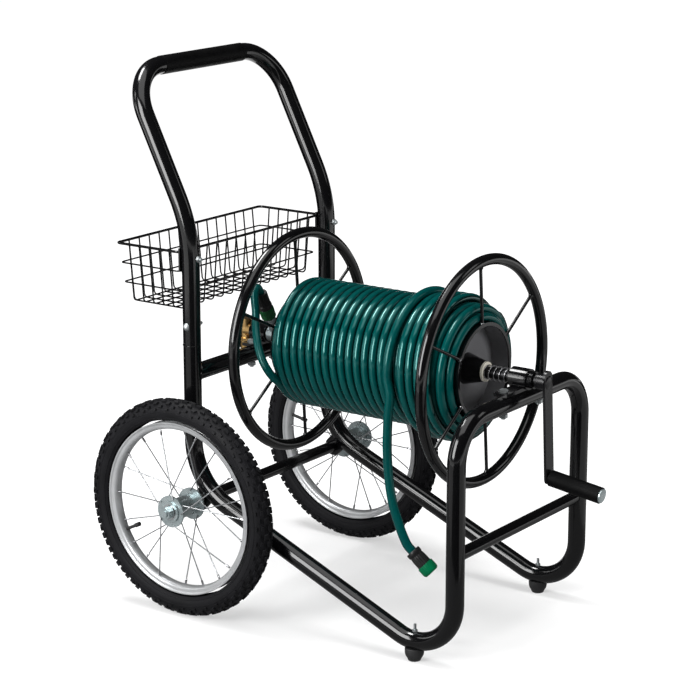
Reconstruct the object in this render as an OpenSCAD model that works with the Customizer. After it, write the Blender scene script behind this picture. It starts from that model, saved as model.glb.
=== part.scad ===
// Hose reel cart: a bent steel tube frame on two spoked pneumatic wheels carries a crank-wound
// hose drum, with a push handle and a wire basket behind the rear posts.
// Millimetres. X across the cart, -Y towards the crank, +Z up, origin on the floor at the middle
// of the cart's outline.

/* [Frame] */
// Outer diameter of the main frame and handle tube
tube_d = 32; // [28:1:36]
// Wall of the main frame and handle tube
tube_wall = 1.5; // [1.2:0.1:2.5]
// Distance between the centre lines of the two side tubes
frame_w = 406; // [396:1:412]
// Distance between the front and rear posts, centre to centre
post_gap = 560; // [540:1:600]
// Slope of the bottom rails, rising to the rear
rail_slope = 22.8; // [20:0.1:25]
// Bend radius at the foot of the front posts
front_bend_r = 80; // [70:1:100]
// Bend radius at the foot of the rear posts
rear_bend_r = 120; // [100:1:130]
// Height of the front top bar's centre line below the reel axis
bar_drop = 34.5; // [34:0.5:40]
// Bend radius of the front hoop's top corners
hoop_corner_r = 75; // [60:1:85]
// Diameter of the front lower crossbar
crossbar_d = 22; // [18:1:26]
// Height of the front lower crossbar
crossbar_z = 202; // [190:1:240]
// Height of the butt joints in the front posts, below the top corners
hoop_joint_drop = 20; // [10:1:40]
// Height of the rubber feet under the front bends
foot_h = 19; // [14:1:24]
// Diameter of the rubber feet where they meet the floor
foot_d = 22; // [18:1:26]

/* [Handle] */
// Height of the seam between the rear posts and the handle legs
seam_z = 485; // [475:1:495]
// Height where the handle legs lean back
kink_z = 695; // [680:1:720]
// Bend radius of that lean
kink_r = 250; // [180:5:280]
// Lean of the handle from upright
handle_lean = 26.7; // [20:0.1:30]
// Height of the handle's top bar
handle_top_z = 962; // [930:1:1000]
// Bend radius of the handle's top corners
handle_corner_r = 85; // [70:1:100]
// Length of the grip sleeve on the top bar
sleeve_len = 230; // [180:1:232]
// Wall of the grip sleeve
sleeve_wall = 1; // [0.8:0.1:2]
// Length of the spigots that join handle and posts, half of it in each
spigot_len = 150; // [130:1:170]

/* [Wheels] */
// Outer diameter of the tyres
wheel_d = 400; // [390:1:410]
// Width of the tyres
tyre_w = 46; // [40:1:48]
// Wall of the tyres
tyre_wall = 4.5; // [3.5:0.1:6]
// Outer diameter of the rims
rim_d = 317; // [312:1:320]
// Width of the rims
rim_w = 26; // [24:0.5:28]
// Depth of the rims
rim_depth = 14; // [12:0.5:16]
// Wall of the rims
rim_wall = 2; // [1.5:0.1:2.5]
// Distance between the middles of the two tyres
track = 522; // [518:1:530]
// Distance of the axle ahead of the rear posts
axle_lead = 16; // [12:1:20]
// Diameter of the axle rod
axle_d = 12; // [10:0.5:14]
// Outer diameter of the axle tube
axle_tube_d = 22; // [20:1:26]
// Diameter of the hub barrels
hub_d = 38; // [36:1:44]
// Diameter of the hub flanges
hub_flange_d = 58; // [54:1:64]
// Length of the hubs
hub_len = 66; // [60:1:68]
// Thickness of the hub flanges
hub_flange_t = 3; // [2.5:0.1:4]
// Outer diameter of the hub bearings
bearing_d = 28; // [26:1:30]
// Width of the hub bearings
bearing_w = 8; // [7:0.5:10]
// Number of spokes in a wheel, half of them to each flange
spoke_count = 20; // [16:4:28]
// Diameter of the wheel spokes
spoke_d = 2.2; // [1.8:0.1:2.6]
// Angle by which each spoke leans round the wheel
spoke_lean = 34; // [25:1:38]

/* [Reel] */
// Height of the reel axis
reel_z = 467; // [455:1:480]
// Outer diameter of the flange rings
flange_d = 412; // [380:1:414]
// Diameter of the flange ring tube
ring_d = 20; // [16:1:22]
// Distance between the two flange planes
flange_gap = 395; // [392:1:398]
// Distance of the front flange plane behind the front posts
flange_setback = 77; // [74:1:80]
// Outer diameter of the drum tube
drum_d = 172; // [168:1:174]
// Wall of the drum tube
drum_wall = 2; // [1.5:0.1:3]
// Diameter of the flange spoke rods
rod_d = 6; // [5:0.5:8]
// Number of spokes in each flange
rod_count = 6; // [4:1:8]
// Turn of the flange spokes in the rest position
rod_turn = 4.5; // [0:0.5:10]
// Diameter of the reel shaft
shaft_d = 20; // [18:0.5:21]
// Depth of the front drum plate inside the drum's rim
plate_inset = 38; // [30:1:45]
// Thickness of the drum plates
plate_t = 2; // [1.5:0.1:3]
// Diameter of the front hub where it leaves the drum plate
hub_base_d = 56; // [50:1:64]
// Diameter of the front hub at its nose
hub_nose_d = 36; // [32:1:40]
// Diameter of the washer on the hub's nose
washer_d = 35; // [32:1:38]
// Thickness of that washer
washer_t = 4; // [3:0.5:5]
// Outer diameter of the drag spring
spring_d = 27; // [26.5:0.5:30]
// Wire of the drag spring
spring_wire = 2.2; // [1.8:0.1:2.4]
// Curls of the drag spring
spring_curls = 6; // [4:1:8]
// Outer diameter of the bearing housings
housing_d = 37; // [34:1:37]
// Length of the bearing housings along the shaft
housing_len = 34; // [30:1:36]
// Thickness of the bearing feet
ear_t = 6; // [5:0.5:8]
// Distance between the front bearing's two bolts
front_ear_gap = 116; // [100:2:130]
// Distance between the rear bearing's two bolts
rear_ear_gap = 64; // [60:2:80]

/* [Crank] */
// Distance from the reel axis to the grip's pin
crank_throw = 172; // [150:1:185]
// Distance of the crank arm's middle plane ahead of the front posts
crank_reach = 51; // [48:1:60]
// Width of the crank arm
arm_w = 25; // [20:1:30]
// Thickness of the crank arm
arm_t = 5; // [4:0.5:8]
// Height of the arm's end above the reel axis, before its rounding
arm_rise = 8; // [4:1:12]
// Turn of the resting crank away from straight down
crank_turn = 4; // [0:0.5:6]
// Diameter of the crank grip
grip_d = 29; // [26:1:34]
// Length of the crank grip
grip_len = 98; // [85:1:110]
// Droop of the grip below level
grip_droop = 8; // [0:0.5:10]
// Diameter of the pin in the grip
pin_d = 8; // [7:0.5:10]

/* [Basket] */
// Width of the basket at its rim, wire centre to wire centre
basket_w = 420; // [400:1:440]
// Depth of the basket at its rim, front to rear
basket_depth = 144; // [130:1:160]
// Height of the basket rim above the floor
basket_z = 651; // [640:1:670]
// Height of the basket walls
basket_h = 109; // [95:1:120]
// Inward taper of each wall from rim to floor
basket_taper = 10; // [6:1:14]
// Diameter of the rim wire
rim_wire_d = 5; // [4.5:0.5:6]
// Diameter of the other basket wires
wire_d = 3; // [2.5:0.25:3.5]
// Wires that run from front to rear
cross_wires = 14; // [10:1:18]
// Wires that run from end to end
long_wires = 5; // [4:1:6]
// Corner radius of the rim and hoops, seen from above
basket_corner_r = 8; // [6:1:12]

/* [Hose] */
// Outer diameter of the hose
hose_d = 16.4; // [15:0.1:16.4]
// Advance of the winding in one turn
winding_pitch = 17; // [16.9:0.1:17.2]
// Turns that show on the drum
winding_turns = 20.5; // [17:0.5:20.5]
// Turns of the shown layer before it climbs onto the next
low_turns = 16.3; // [13:0.1:16.5]
// Lean of the turns, their tops towards the rear
winding_lean = 5; // [0:0.5:6]
// Distance of the rear flange plane behind the first turn
rear_margin = 19; // [18:1:23]

/* [Hidden] */
$fn = 64;

// Radial clearance of shafts and pins that turn
run_gap = 0.05;
// Clearance between pieces that only lie against each other
seat_gap = 0.02;
// Clearance kept by free or soft pieces
soft_gap = 0.4;
// Step between a bend and the straight bars that it joins
hair = 0.01;

side_x = frame_w/2;
tube_r = tube_d/2;
wheel_r = wheel_d/2;
cap_len = 3;
cap_d = grip_d - 4;
grip_end_gap = 0.6;
// The grip's inner end leans with its pin, so it starts further from the arm
grip_start = (arm_t/2 + grip_end_gap + grip_d/2*sin(grip_droop))/cos(grip_droop);
grip_reach = grip_start + grip_len + cap_len;
// Places along Y, worked out so that the outline of the whole cart is centred on the origin
crank_overhang = crank_reach + grip_reach*cos(grip_droop) + cap_d/2*sin(grip_droop);
cart_len = crank_overhang + post_gap - axle_lead + wheel_r;
front_y = -cart_len/2 + crank_overhang;
rear_y = front_y + post_gap;
axle_y = rear_y - axle_lead;
bar_z = reel_z - bar_drop;
bar_top = bar_z + tube_r;
arm_y = front_y - crank_reach;
front_ring_y = front_y + flange_setback;
rear_ring_y = front_ring_y + flange_gap;

// Small vector helpers
function unit(v) = v/norm(v);
function tangent(p, i) = unit(p[min(i + 1, len(p) - 1)] - p[max(i - 1, 0)]);

// Places children in a frame given by its origin and two of its unit axes, x and z
module framed(o, x, z) {
  y = cross(z, x);
  multmatrix([[x[0], y[0], z[0], o[0]], [x[1], y[1], z[1], o[1]], [x[2], y[2], z[2], o[2]],
    [0, 0, 0, 1]]) children();
}

// Any unit vector square to v
function square_to(v) = unit(abs(v[2]) < 0.9 ? cross(v, [0, 0, 1]) : cross(v, [1, 0, 0]));

// Round bar from a to b, hollow if a bore is given
module bar(a, b, d, bore = 0) {
  z = unit(b - a);
  framed(a, square_to(z), z) linear_extrude(norm(b - a)) section(d, bore);
}

// Ring-shaped or full circle section
module section(d, bore = 0) {
  difference() {
    circle(d = d);
    if (bore > 0) circle(d = bore);
  }
}

// Length cut from each side of a corner by a bend of radius r
function cut_back(a, c, b, r) =
  let (turn = acos(-unit(a - c)*unit(b - c))) r*tan(turn/2);

// Bend of radius r at corner c, between the points a and b. A bend's wall lies a hair inside the
// wall of the straight bars that it joins, so that their faces never nearly coincide.
module bend(a, c, b, r, d, bore = 0) {
  to_a = unit(a - c);
  to_b = unit(b - c);
  turn = acos(-to_a*to_b);
  cut = cut_back(a, c, b, r);
  centre = c + unit(to_a + to_b)*r/cos(turn/2);
  x = unit(c + to_a*cut - centre);
  z = unit(cross(x, unit(c + to_b*cut - centre)));
  framed(centre, x, z) rotate_extrude(angle = turn) translate([r, 0])
    section(d - 2*hair, bore > 0 ? bore + 2*hair : 0);
}

// Bent tube through corner points p, with a bend radius r[i] at the inner point i
module bent(p, r, d, bore = 0) {
  last = len(p) - 1;
  cuts = [for (i = [0:last]) i == 0 || i == last ? 0 : cut_back(p[i - 1], p[i], p[i + 1], r[i])];
  for (i = [0:last - 1]) {
    way = unit(p[i + 1] - p[i]);
    bar(p[i] + way*(cuts[i] - (i > 0 ? hair : 0)),
      p[i + 1] - way*(cuts[i + 1] - (i + 1 < last ? hair : 0)), d, bore);
  }
  for (i = [1:1:last - 1]) bend(p[i - 1], p[i], p[i + 1], r[i], d, bore);
}

// Closed rectangular wire hoop, flat in the XY plane at height z
module hoop(w, y0, y1, z, r, d) {
  c = [[-w/2, y0, z], [w/2, y0, z], [w/2, y1, z], [-w/2, y1, z]];
  for (i = [0:3]) {
    a = c[i];
    b = c[(i + 1) % 4];
    e = c[(i + 2) % 4];
    bar(a + unit(b - a)*(r - hair), b - unit(b - a)*(r - hair), d);
    bend(a, b, e, r, d);
  }
}

// Hexagon prism across flats f, thickness t, with an optional bore
module hexagon(f, t, bore = 0) {
  linear_extrude(t) difference() {
    circle(d = f/cos(30), $fn = 6);
    if (bore > 0) circle(d = bore);
  }
}

// Hexagon-headed bolt along +Z with its head below the origin and a nut at the far end
module bolt(d, grip, head_f, tail) {
  translate([0, 0, -0.65*d]) hexagon(head_f, 0.65*d);
  cylinder(d = d, h = grip + tail);
}

module nut(d, f) {
  difference() {
    hexagon(f, 0.8*d);
    translate([0, 0, -1]) cylinder(d = d + 2*seat_gap, h = 0.8*d + 2);
  }
}

module black() { color([0.02, 0.02, 0.022]) children(); }
module zinc() { color([0.75, 0.76, 0.77]) children(); }

// Faceted tube swept along p: section of the given sides, kept square to the path
function sweep_points(p, d, sides) = [for (i = [0:len(p) - 1])
  let (t = tangent(p, i), v = unit([0, 1, 0] - t*t[1]), u = cross(v, t))
  for (k = [0:sides - 1]) p[i] + d/2*(u*cos(360*k/sides) + v*sin(360*k/sides))];
function sweep_faces(n, sides) = concat(
  [for (i = [0:n - 2], k = [0:sides - 1])
    [i*sides + k, i*sides + (k + 1) % sides, (i + 1)*sides + k]],
  [for (i = [0:n - 2], k = [0:sides - 1])
    [i*sides + (k + 1) % sides, (i + 1)*sides + (k + 1) % sides, (i + 1)*sides + k]],
  [for (k = [1:sides - 2]) [0, k + 1, k]],
  [for (k = [1:sides - 2]) let (b = (n - 1)*sides) [b, b + k, b + k + 1]]);
module sweep(p, d, sides) {
  polyhedron(sweep_points(p, d, sides), sweep_faces(len(p), sides), convexity = 10);
}

// Side frames. The rail is tangent to the front bend and to the rear bend.
front_centre = [front_y + front_bend_r, foot_h + tube_r + front_bend_r];
rail_start = front_centre + front_bend_r*[sin(rail_slope), -cos(rail_slope)];
front_corner = [front_y, rail_start[1] - (rail_start[0] - front_y)*tan(rail_slope)];
rear_corner = [rear_y, rail_start[1] + (rear_y - rail_start[0])*tan(rail_slope)];
hoop_joint_z = bar_z - hoop_corner_r - hoop_joint_drop;
lug_t = 6;
lug_r = axle_tube_d/2 + 7;

module side_tube(x) {
  path = [[x, front_y, hoop_joint_z], [x, front_corner[0], front_corner[1]],
    [x, rear_corner[0], rear_corner[1]], [x, rear_y, seam_z]];
  radii = [0, front_bend_r, rear_bend_r, 0];
  black() difference() {
    union() {
      bent(path, radii, tube_d, tube_d - 2*tube_wall);
      difference() {
        axle_lug(x);
        bent(path, radii, tube_d - tube_wall);
      }
    }
    translate([x, axle_y, wheel_r]) rotate([0, 90, 0])
      cylinder(d = axle_tube_d + 2*seat_gap, h = 4*lug_t, center = true);
    translate([x, foot_y, foot_h - 1]) cylinder(d = foot_bolt_d + 0.4, h = tube_d + 20);
  }
}

// Plate under each rear bend that carries the axle tube
module axle_lug(x) {
  up = unit([rear_y - rear_bend_r - axle_y, rear_corner_z + lug_rise - wheel_r]);
  translate([x - lug_t/2, 0, 0]) rotate([90, 0, 90]) linear_extrude(lug_t) {
    translate([axle_y, wheel_r]) circle(r = lug_r);
    translate([axle_y, wheel_r]) rotate(atan2(up[1], up[0])) translate([0, -lug_r])
      square([lug_reach, 2*lug_r]);
  }
}
rear_centre_z = rear_corner[1] + rear_bend_r*tan((90 - rail_slope)/2);
rear_corner_z = rear_corner[1];
lug_rise = rear_centre_z - rear_corner_z;
axle_to_centre = norm([rear_y - rear_bend_r - axle_y, rear_centre_z - wheel_r]);
lug_reach = axle_to_centre - rear_bend_r;

module left_side_tube() { side_tube(-side_x); }
module right_side_tube() { side_tube(side_x); }

module front_hoop() {
  path = [[-side_x, front_y, hoop_joint_z + seat_gap], [-side_x, front_y, bar_z],
    [side_x, front_y, bar_z], [side_x, front_y, hoop_joint_z + seat_gap]];
  black() difference() {
    bent(path, [0, hoop_corner_r, hoop_corner_r, 0], tube_d, tube_d - 2*tube_wall);
    for (s = [-1, 1]) translate([s*front_ear_gap/2, front_y, bar_z - tube_d])
      cylinder(d = block_bolt_d + 1, h = 2*tube_d);
  }
}

// Bar between the two side tubes, its ends shaped to the tubes
module crossbar(y, z, d, wall) {
  reach = side_x - tube_r + d*d/(8*tube_r) + 0.5;
  black() difference() {
    bar([-reach, y, z], [reach, y, z], d, d - 2*wall);
    for (s = [-1, 1]) translate([s*side_x, y, z - d]) cylinder(r = tube_r + seat_gap, h = 2*d);
  }
}

module front_crossbar() { crossbar(front_y, crossbar_z, crossbar_d, tube_wall); }

module rear_crossbar() {
  difference() {
    crossbar(rear_y, bar_z, tube_d - 1, tube_wall);
    for (s = [-1, 1]) translate([s*rear_ear_gap/2, rear_y, bar_z - tube_d])
      cylinder(d = block_bolt_d + 1, h = 2*tube_d);
  }
}

// Axle
hub_in = track/2 - hub_len/2;
axle_tube_end = side_x + lug_t/2 + 3;
spacer_d = axle_d + 8;
axle_nut_f = 19;
axle_nut_t = 10;
axle_washer_t = 2;
hub_side_gap = 0.3;

module axle_tube() {
  black() bar([-axle_tube_end, axle_y, wheel_r], [axle_tube_end, axle_y, wheel_r],
    axle_tube_d, axle_d + 2*seat_gap);
}

module axle_rod() {
  reach = track/2 + hub_len/2 + hub_side_gap + axle_washer_t + axle_nut_t + 3;
  zinc() bar([-reach, axle_y, wheel_r], [reach, axle_y, wheel_r], axle_d);
}

module axle_nuts() {
  out = track/2 + hub_len/2 + hub_side_gap;
  zinc() for (s = [-1, 1]) {
    // Spacer between the axle tube and the inner bearing
    bar([s*(axle_tube_end + seat_gap), axle_y, wheel_r], [s*(hub_in - hub_side_gap), axle_y, wheel_r],
      spacer_d, axle_d + 2*seat_gap);
    // Washer and nut outside the hub
    bar([s*out, axle_y, wheel_r], [s*(out + axle_washer_t), axle_y, wheel_r],
      axle_d*2, axle_d + 2*seat_gap);
    translate([s*(out + axle_washer_t + seat_gap), axle_y, wheel_r]) rotate([0, s*90, 0]) difference() {
      hexagon(axle_nut_f, axle_nut_t);
      translate([0, 0, -1]) cylinder(d = axle_d + 2*seat_gap, h = axle_nut_t + 2);
    }
  }
}

// Handle
handle_top_y = rear_y + (handle_top_z - kink_z)*tan(handle_lean);

handle_path = [[-side_x, rear_y, seam_z + seat_gap], [-side_x, rear_y, kink_z],
  [-side_x, handle_top_y, handle_top_z], [side_x, handle_top_y, handle_top_z],
  [side_x, rear_y, kink_z], [side_x, rear_y, seam_z + seat_gap]];
handle_radii = [0, kink_r, handle_corner_r, handle_corner_r, kink_r, 0];

module handle_tube() {
  black() difference() {
    bent(handle_path, handle_radii, tube_d, tube_d - 2*tube_wall);
    for (s = [-1, 1]) {
      spigot_bolt_hole(s*side_x);
      basket_bolt_hole(s*side_x);
    }
  }
}

spigot_d = tube_d - 2*tube_wall - 0.2;
spigot_bolt_d = 6;
spigot_bolt_rise = 35;
dome_d = 14;
dome_h = 4;

module spigot_bolt_hole(x) {
  translate([x, rear_y, seam_z + spigot_bolt_rise]) rotate([0, 90, 0])
    cylinder(d = spigot_bolt_d + 0.4, h = 2*tube_d, center = true);
}

// Round-headed bolt along +Z with its head below the origin
module dome_bolt(d, reach) {
  ball_r = (dome_d*dome_d/4 + dome_h*dome_h)/(2*dome_h);
  intersection() {
    translate([0, 0, ball_r - dome_h]) sphere(r = ball_r);
    translate([0, 0, -dome_h - 1]) cylinder(d = dome_d, h = dome_h + 1);
  }
  cylinder(d = d, h = reach);
}

module handle_spigots() {
  black() for (s = [-1, 1]) difference() {
    bar([s*side_x, rear_y, seam_z - spigot_len/2], [s*side_x, rear_y, seam_z + spigot_len/2],
      spigot_d, spigot_d - 4);
    spigot_bolt_hole(s*side_x);
  }
}

// Bolts through the rear posts: one along X above each seam, one along Y at each basket bracket
basket_bolt_d = 6;
basket_bolt_z = basket_z - 9;

module basket_bolt_hole(x) {
  translate([x, rear_y - tube_d, basket_bolt_z]) rotate([-90, 0, 0])
    cylinder(d = basket_bolt_d + 0.4, h = 2*tube_d);
}

module post_bolts() {
  zinc() for (s = [-1, 1]) {
    translate([s*(side_x + tube_r + seat_gap), rear_y, seam_z + spigot_bolt_rise])
      rotate([0, -s*90, 0]) {
        dome_bolt(spigot_bolt_d, tube_d + 11);
        translate([0, 0, tube_d + 3*seat_gap]) nut(spigot_bolt_d, 10);
      }
    translate([s*side_x, bracket_back + seat_gap, basket_bolt_z]) rotate([90, 0, 0]) {
      bolt(basket_bolt_d, tube_d + bracket_t, 10, 8);
      translate([0, 0, bracket_back - rear_y + tube_r + 3*seat_gap]) nut(basket_bolt_d, 10);
    }
  }
}

module handle_sleeve() {
  color([0.03, 0.03, 0.03]) bar([-sleeve_len/2, handle_top_y, handle_top_z],
    [sleeve_len/2, handle_top_y, handle_top_z], tube_d + 2*sleeve_wall, tube_d + 2*seat_gap);
}

// Feet
foot_bolt_d = 5;
foot_head_d = 9;
foot_y = front_y + front_bend_r;
foot_flat = 6;
foot_wrap = 6;
foot_flare = 12;
foot_nut_f = 8;
foot_bend_in = front_bend_r - tube_r;
// Rise of the bend's inner wall under the corners of the nut
foot_nut_lift = foot_bend_in - sqrt(pow(foot_bend_in, 2) - pow(foot_nut_f/2/cos(30), 2));

module feet() {
  color([0.06, 0.06, 0.06]) for (s = [-1, 1]) difference() {
    translate([s*side_x, foot_y, 0])
      cylinder(d1 = foot_d, d2 = foot_d + foot_flare, h = foot_h + foot_wrap);
    // Saddle for the bent tube
    bend([s*side_x, front_y, front_centre[1]], [s*side_x, front_corner[0], front_corner[1]],
      [s*side_x, rear_corner[0], rear_corner[1]], front_bend_r, tube_d + 2*seat_gap);
    translate([s*side_x, foot_y, -1]) cylinder(d = foot_head_d + 2, h = foot_flat + 1);
    translate([s*side_x, foot_y, -1]) cylinder(d = foot_bolt_d + 2*seat_gap, h = foot_h + 10);
  }
}

module foot_bolts() {
  shank = foot_h + tube_d + 14 - foot_flat;
  zinc() for (s = [-1, 1]) translate([s*side_x, foot_y, foot_flat - seat_gap]) {
    translate([0, 0, -0.6*foot_bolt_d]) cylinder(d = foot_head_d, h = 0.6*foot_bolt_d);
    cylinder(d = foot_bolt_d, h = shank);
    translate([0, 0, foot_h + tube_d - foot_flat + foot_nut_lift + 3*seat_gap])
      nut(foot_bolt_d, foot_nut_f);
  }
}

// Bearings of the reel shaft, one on the front hoop's bar and one on the rear crossbar
block_bolt_d = 8;
bush_wall = 3;
ear_w = 26;
ear_end = 11;

module bearing_block(y, bar_r, gap) {
  top = bar_z + bar_r;
  difference() {
    union() {
      translate([0, y + housing_len/2, reel_z]) rotate([90, 0, 0])
        cylinder(d = housing_d, h = housing_len);
      translate([-gap/2 - ear_end, y - ear_w/2, top + seat_gap]) cube([gap + 2*ear_end, ear_w, ear_t]);
    }
    translate([0, y, reel_z]) rotate([90, 0, 0])
      cylinder(d = shaft_d + 2*bush_wall, h = housing_len + 2, center = true);
    translate([-gap, y, bar_z]) rotate([0, 90, 0]) cylinder(r = bar_r + seat_gap, h = 2*gap);
    for (s = [-1, 1]) translate([s*gap/2, y, bar_z]) cylinder(d = block_bolt_d + 0.4, h = tube_d);
  }
}

module bearing_blocks() {
  black() {
    bearing_block(front_y, tube_r, front_ear_gap);
    bearing_block(rear_y, tube_r - 0.5, rear_ear_gap);
  }
}

module shaft_bushes() {
  color([0.72, 0.55, 0.3]) for (y = [front_y, rear_y])
    bar([0, y - housing_len/2, reel_z], [0, y + housing_len/2, reel_z],
      shaft_d + 2*bush_wall - 2*seat_gap, shaft_d + 2*run_gap);
}

module block_bolts() {
  zinc() for (b = [[front_y, tube_r, front_ear_gap], [rear_y, tube_r - 0.5, rear_ear_gap]], s = [-1, 1]) {
    top = bar_z + b[1] + ear_t + seat_gap;
    translate([s*b[2]/2, b[0], top + seat_gap]) rotate([180, 0, 0]) {
      bolt(block_bolt_d, 2*b[1] + ear_t + 3*seat_gap, 13, 9);
      translate([0, 0, 2*b[1] + ear_t + 4*seat_gap]) nut(block_bolt_d, 13);
    }
  }
}

// Brass inlet behind the rear bearing, with the male thread of the supply hose pointing down
inlet_d = 26;
inlet_y = rear_y + housing_len/2 + 18.5;
inlet_up = 22;
inlet_down = 34;
thread_len = 14;
thread_d = 26.9;
// Hexagon above the thread
swivel_f = 30;
swivel_t = 6;
water_bore = 11;

module inlet_elbow() {
  color([0.78, 0.6, 0.3]) difference() {
    union() {
      translate([0, inlet_y, reel_z - inlet_down + thread_len])
        cylinder(d = inlet_d - 2, h = inlet_up + inlet_down - thread_len);
      translate([0, inlet_y, reel_z - inlet_down]) cylinder(d = thread_d, h = thread_len);
      translate([0, inlet_y, reel_z - inlet_down + thread_len + seat_gap]) hexagon(swivel_f, swivel_t);
      bar([0, rear_y + housing_len/2 + seat_gap, reel_z], [0, inlet_y, reel_z], inlet_d);
    }
    translate([0, inlet_y, reel_z - inlet_down - 1]) cylinder(d = water_bore, h = inlet_down + 1);
    bar([0, rear_y, reel_z], [0, inlet_y, reel_z], water_bore);
    // Socket in which the end of the shaft turns
    bar([0, rear_y, reel_z], [0, rear_y + housing_len/2 + shaft_tail + 0.5, reel_z],
      shaft_d + 2*run_gap);
  }
}
shaft_tail = 6;

// Basket
bracket_t = 3;
bracket_w = 24;
bracket_h = 40;
bracket_top = 8;
// Depth to which the brackets are hollowed to fit the tubes
bracket_bite = 0.6;
bracket_back = rear_y + tube_r + bracket_t - bracket_bite;
bracket_z = basket_z + bracket_top - bracket_h;
bend_start_z = kink_z - kink_r*tan(handle_lean/2);
bracket_lean = pow(basket_z + bracket_top - bend_start_z, 2)/(2*kink_r);
basket_front = bracket_back + seat_gap + rim_wire_d/2;
basket_rear = basket_front + basket_depth;
hoop_drop = 36;

// Distance of a wall from the rim's, seen from above, at a drop below the rim
function wall_in(drop) = basket_taper*drop/basket_h;

module basket_rim() {
  black() hoop(basket_w, basket_front, basket_rear, basket_z, basket_corner_r, rim_wire_d);
}

module basket_hoops() {
  black() for (i = [1:2]) {
    step = wall_in(i*hoop_drop) + (rim_wire_d - wire_d)/2;
    hoop(basket_w - 2*step, basket_front + step, basket_rear - step, basket_z - i*hoop_drop,
      basket_corner_r, wire_d);
  }
}

// The upright wires stand inside the rim and the hoops, and cross below the floor of the others
wire_in = (rim_wire_d + wire_d)/2 + seat_gap;
// Distance of the outermost wires from the floor's ends and from its long sides
end_margin = 15;
side_margin = 12;
floor_bend_r = 8;

module basket_cross_wires() {
  inner_w = basket_w - 2*basket_taper - 2*wire_in - 2*end_margin;
  y0 = basket_front + wire_in;
  y1 = basket_rear - wire_in;
  black() for (i = [0:cross_wires - 1]) {
    x = -inner_w/2 + inner_w*i/(cross_wires - 1);
    bent([[x, y0, basket_z], [x, y0 + basket_taper, basket_z - basket_h],
      [x, y1 - basket_taper, basket_z - basket_h], [x, y1, basket_z]],
      [0, floor_bend_r, floor_bend_r, 0], wire_d);
  }
}

module basket_long_wires() {
  inner_d = basket_depth - 2*basket_taper - 2*wire_in - 2*side_margin;
  x1 = basket_w/2 - wire_in;
  z0 = basket_z - basket_h + wire_d + seat_gap;
  mid = (basket_front + basket_rear)/2;
  black() for (i = [0:long_wires - 1]) {
    y = mid - inner_d/2 + inner_d*i/(long_wires - 1);
    bent([[-x1, y, basket_z], [-x1 + basket_taper, y, z0], [x1 - basket_taper, y, z0], [x1, y, basket_z]],
      [0, floor_bend_r, floor_bend_r, 0], wire_d);
  }
}

module basket_brackets() {
  black() difference() {
    for (s = [-1, 1]) difference() {
      translate([s*side_x - bracket_w/2, bracket_back - bracket_t, bracket_z])
        cube([bracket_w, bracket_t, bracket_h]);
      basket_bolt_hole(s*side_x);
    }
    // Hollow for the handle tube, leaning as much as the tube does at the bracket's top
    for (s = [-1, 1]) bar([s*side_x, rear_y - bracket_lean, bracket_z - bracket_h],
      [s*side_x, rear_y + 2*bracket_lean, bracket_z + 2*bracket_h], tube_d + 2*seat_gap);
  }
}

// Reel flanges and drum
flange_r = flange_d/2 - ring_d/2;

module flange_ring(y) {
  black() translate([0, y, reel_z]) rotate([90, 0, 0]) rotate_extrude()
    translate([flange_r, 0]) circle(d = ring_d);
}

module flange_spokes(y) {
  in = drum_d/2 + seat_gap;
  out = sqrt(pow(flange_r - ring_d/2, 2) - pow(rod_d/2, 2)) - seat_gap;
  black() difference() {
    for (i = [0:rod_count - 1]) translate([0, y, reel_z]) rotate([0, -rod_turn - 30 - 360*i/rod_count, 0])
      bar([in - 2, 0, 0], [out, 0, 0], rod_d);
    translate([0, y + rod_d, reel_z]) rotate([90, 0, 0]) cylinder(r = in, h = 2*rod_d);
  }
}

module front_flange_ring() { flange_ring(front_ring_y); }
module rear_flange_ring() { flange_ring(rear_ring_y); }
module front_flange_spokes() { flange_spokes(front_ring_y); }
module rear_flange_spokes() { flange_spokes(rear_ring_y); }

rim_over = rod_d/2;
drum_front = front_ring_y - rim_over;
drum_rear = rear_ring_y + rim_over;
lip = 4;

// Drum tube with its ends curled inwards to a lip
module drum_tube() {
  black() difference() {
    bar([0, drum_front, reel_z], [0, drum_rear, reel_z], drum_d, drum_d - 2*drum_wall - 2*lip);
    bar([0, drum_front + drum_wall, reel_z], [0, drum_rear - drum_wall, reel_z], drum_d - 2*drum_wall);
  }
}

plate_d = drum_d - 2*drum_wall - 2*seat_gap;
front_plate_y = drum_front + plate_inset;
rear_plate_y = drum_rear - drum_wall - seat_gap;

// Dished plate: a floor with a wall that runs forward to the drum's lip
module front_drum_plate() {
  y0 = drum_front + drum_wall + seat_gap;
  color([0.22, 0.22, 0.23]) difference() {
    bar([0, y0, reel_z], [0, front_plate_y + plate_t, reel_z], plate_d);
    bar([0, y0 - 1, reel_z], [0, front_plate_y, reel_z], plate_d - 2*plate_t);
    bar([0, y0, reel_z], [0, front_plate_y + 2*plate_t, reel_z], shaft_d + 2*seat_gap);
  }
}

module rear_drum_plate() {
  boss = 0.9*shaft_d;
  color([0.22, 0.22, 0.23]) difference() {
    union() {
      bar([0, rear_plate_y - plate_t, reel_z], [0, rear_plate_y, reel_z], plate_d);
      bar([0, rear_plate_y - plate_t, reel_z], [0, rear_plate_y + boss, reel_z], 2*shaft_d);
    }
    bar([0, rear_plate_y - 2*plate_t, reel_z], [0, rear_plate_y + boss + plate_t, reel_z],
      shaft_d + 2*seat_gap);
  }
}

hub_front = front_ring_y - 3;

// Tapered hub in front of the drum plate
module front_hub() {
  black() difference() {
    translate([0, front_plate_y - seat_gap, reel_z]) rotate([90, 0, 0])
      cylinder(d1 = hub_base_d, d2 = hub_nose_d, h = front_plate_y - seat_gap - hub_front);
    bar([0, hub_front - 1, reel_z], [0, front_plate_y + 1, reel_z], shaft_d + 2*seat_gap);
  }
}

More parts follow.
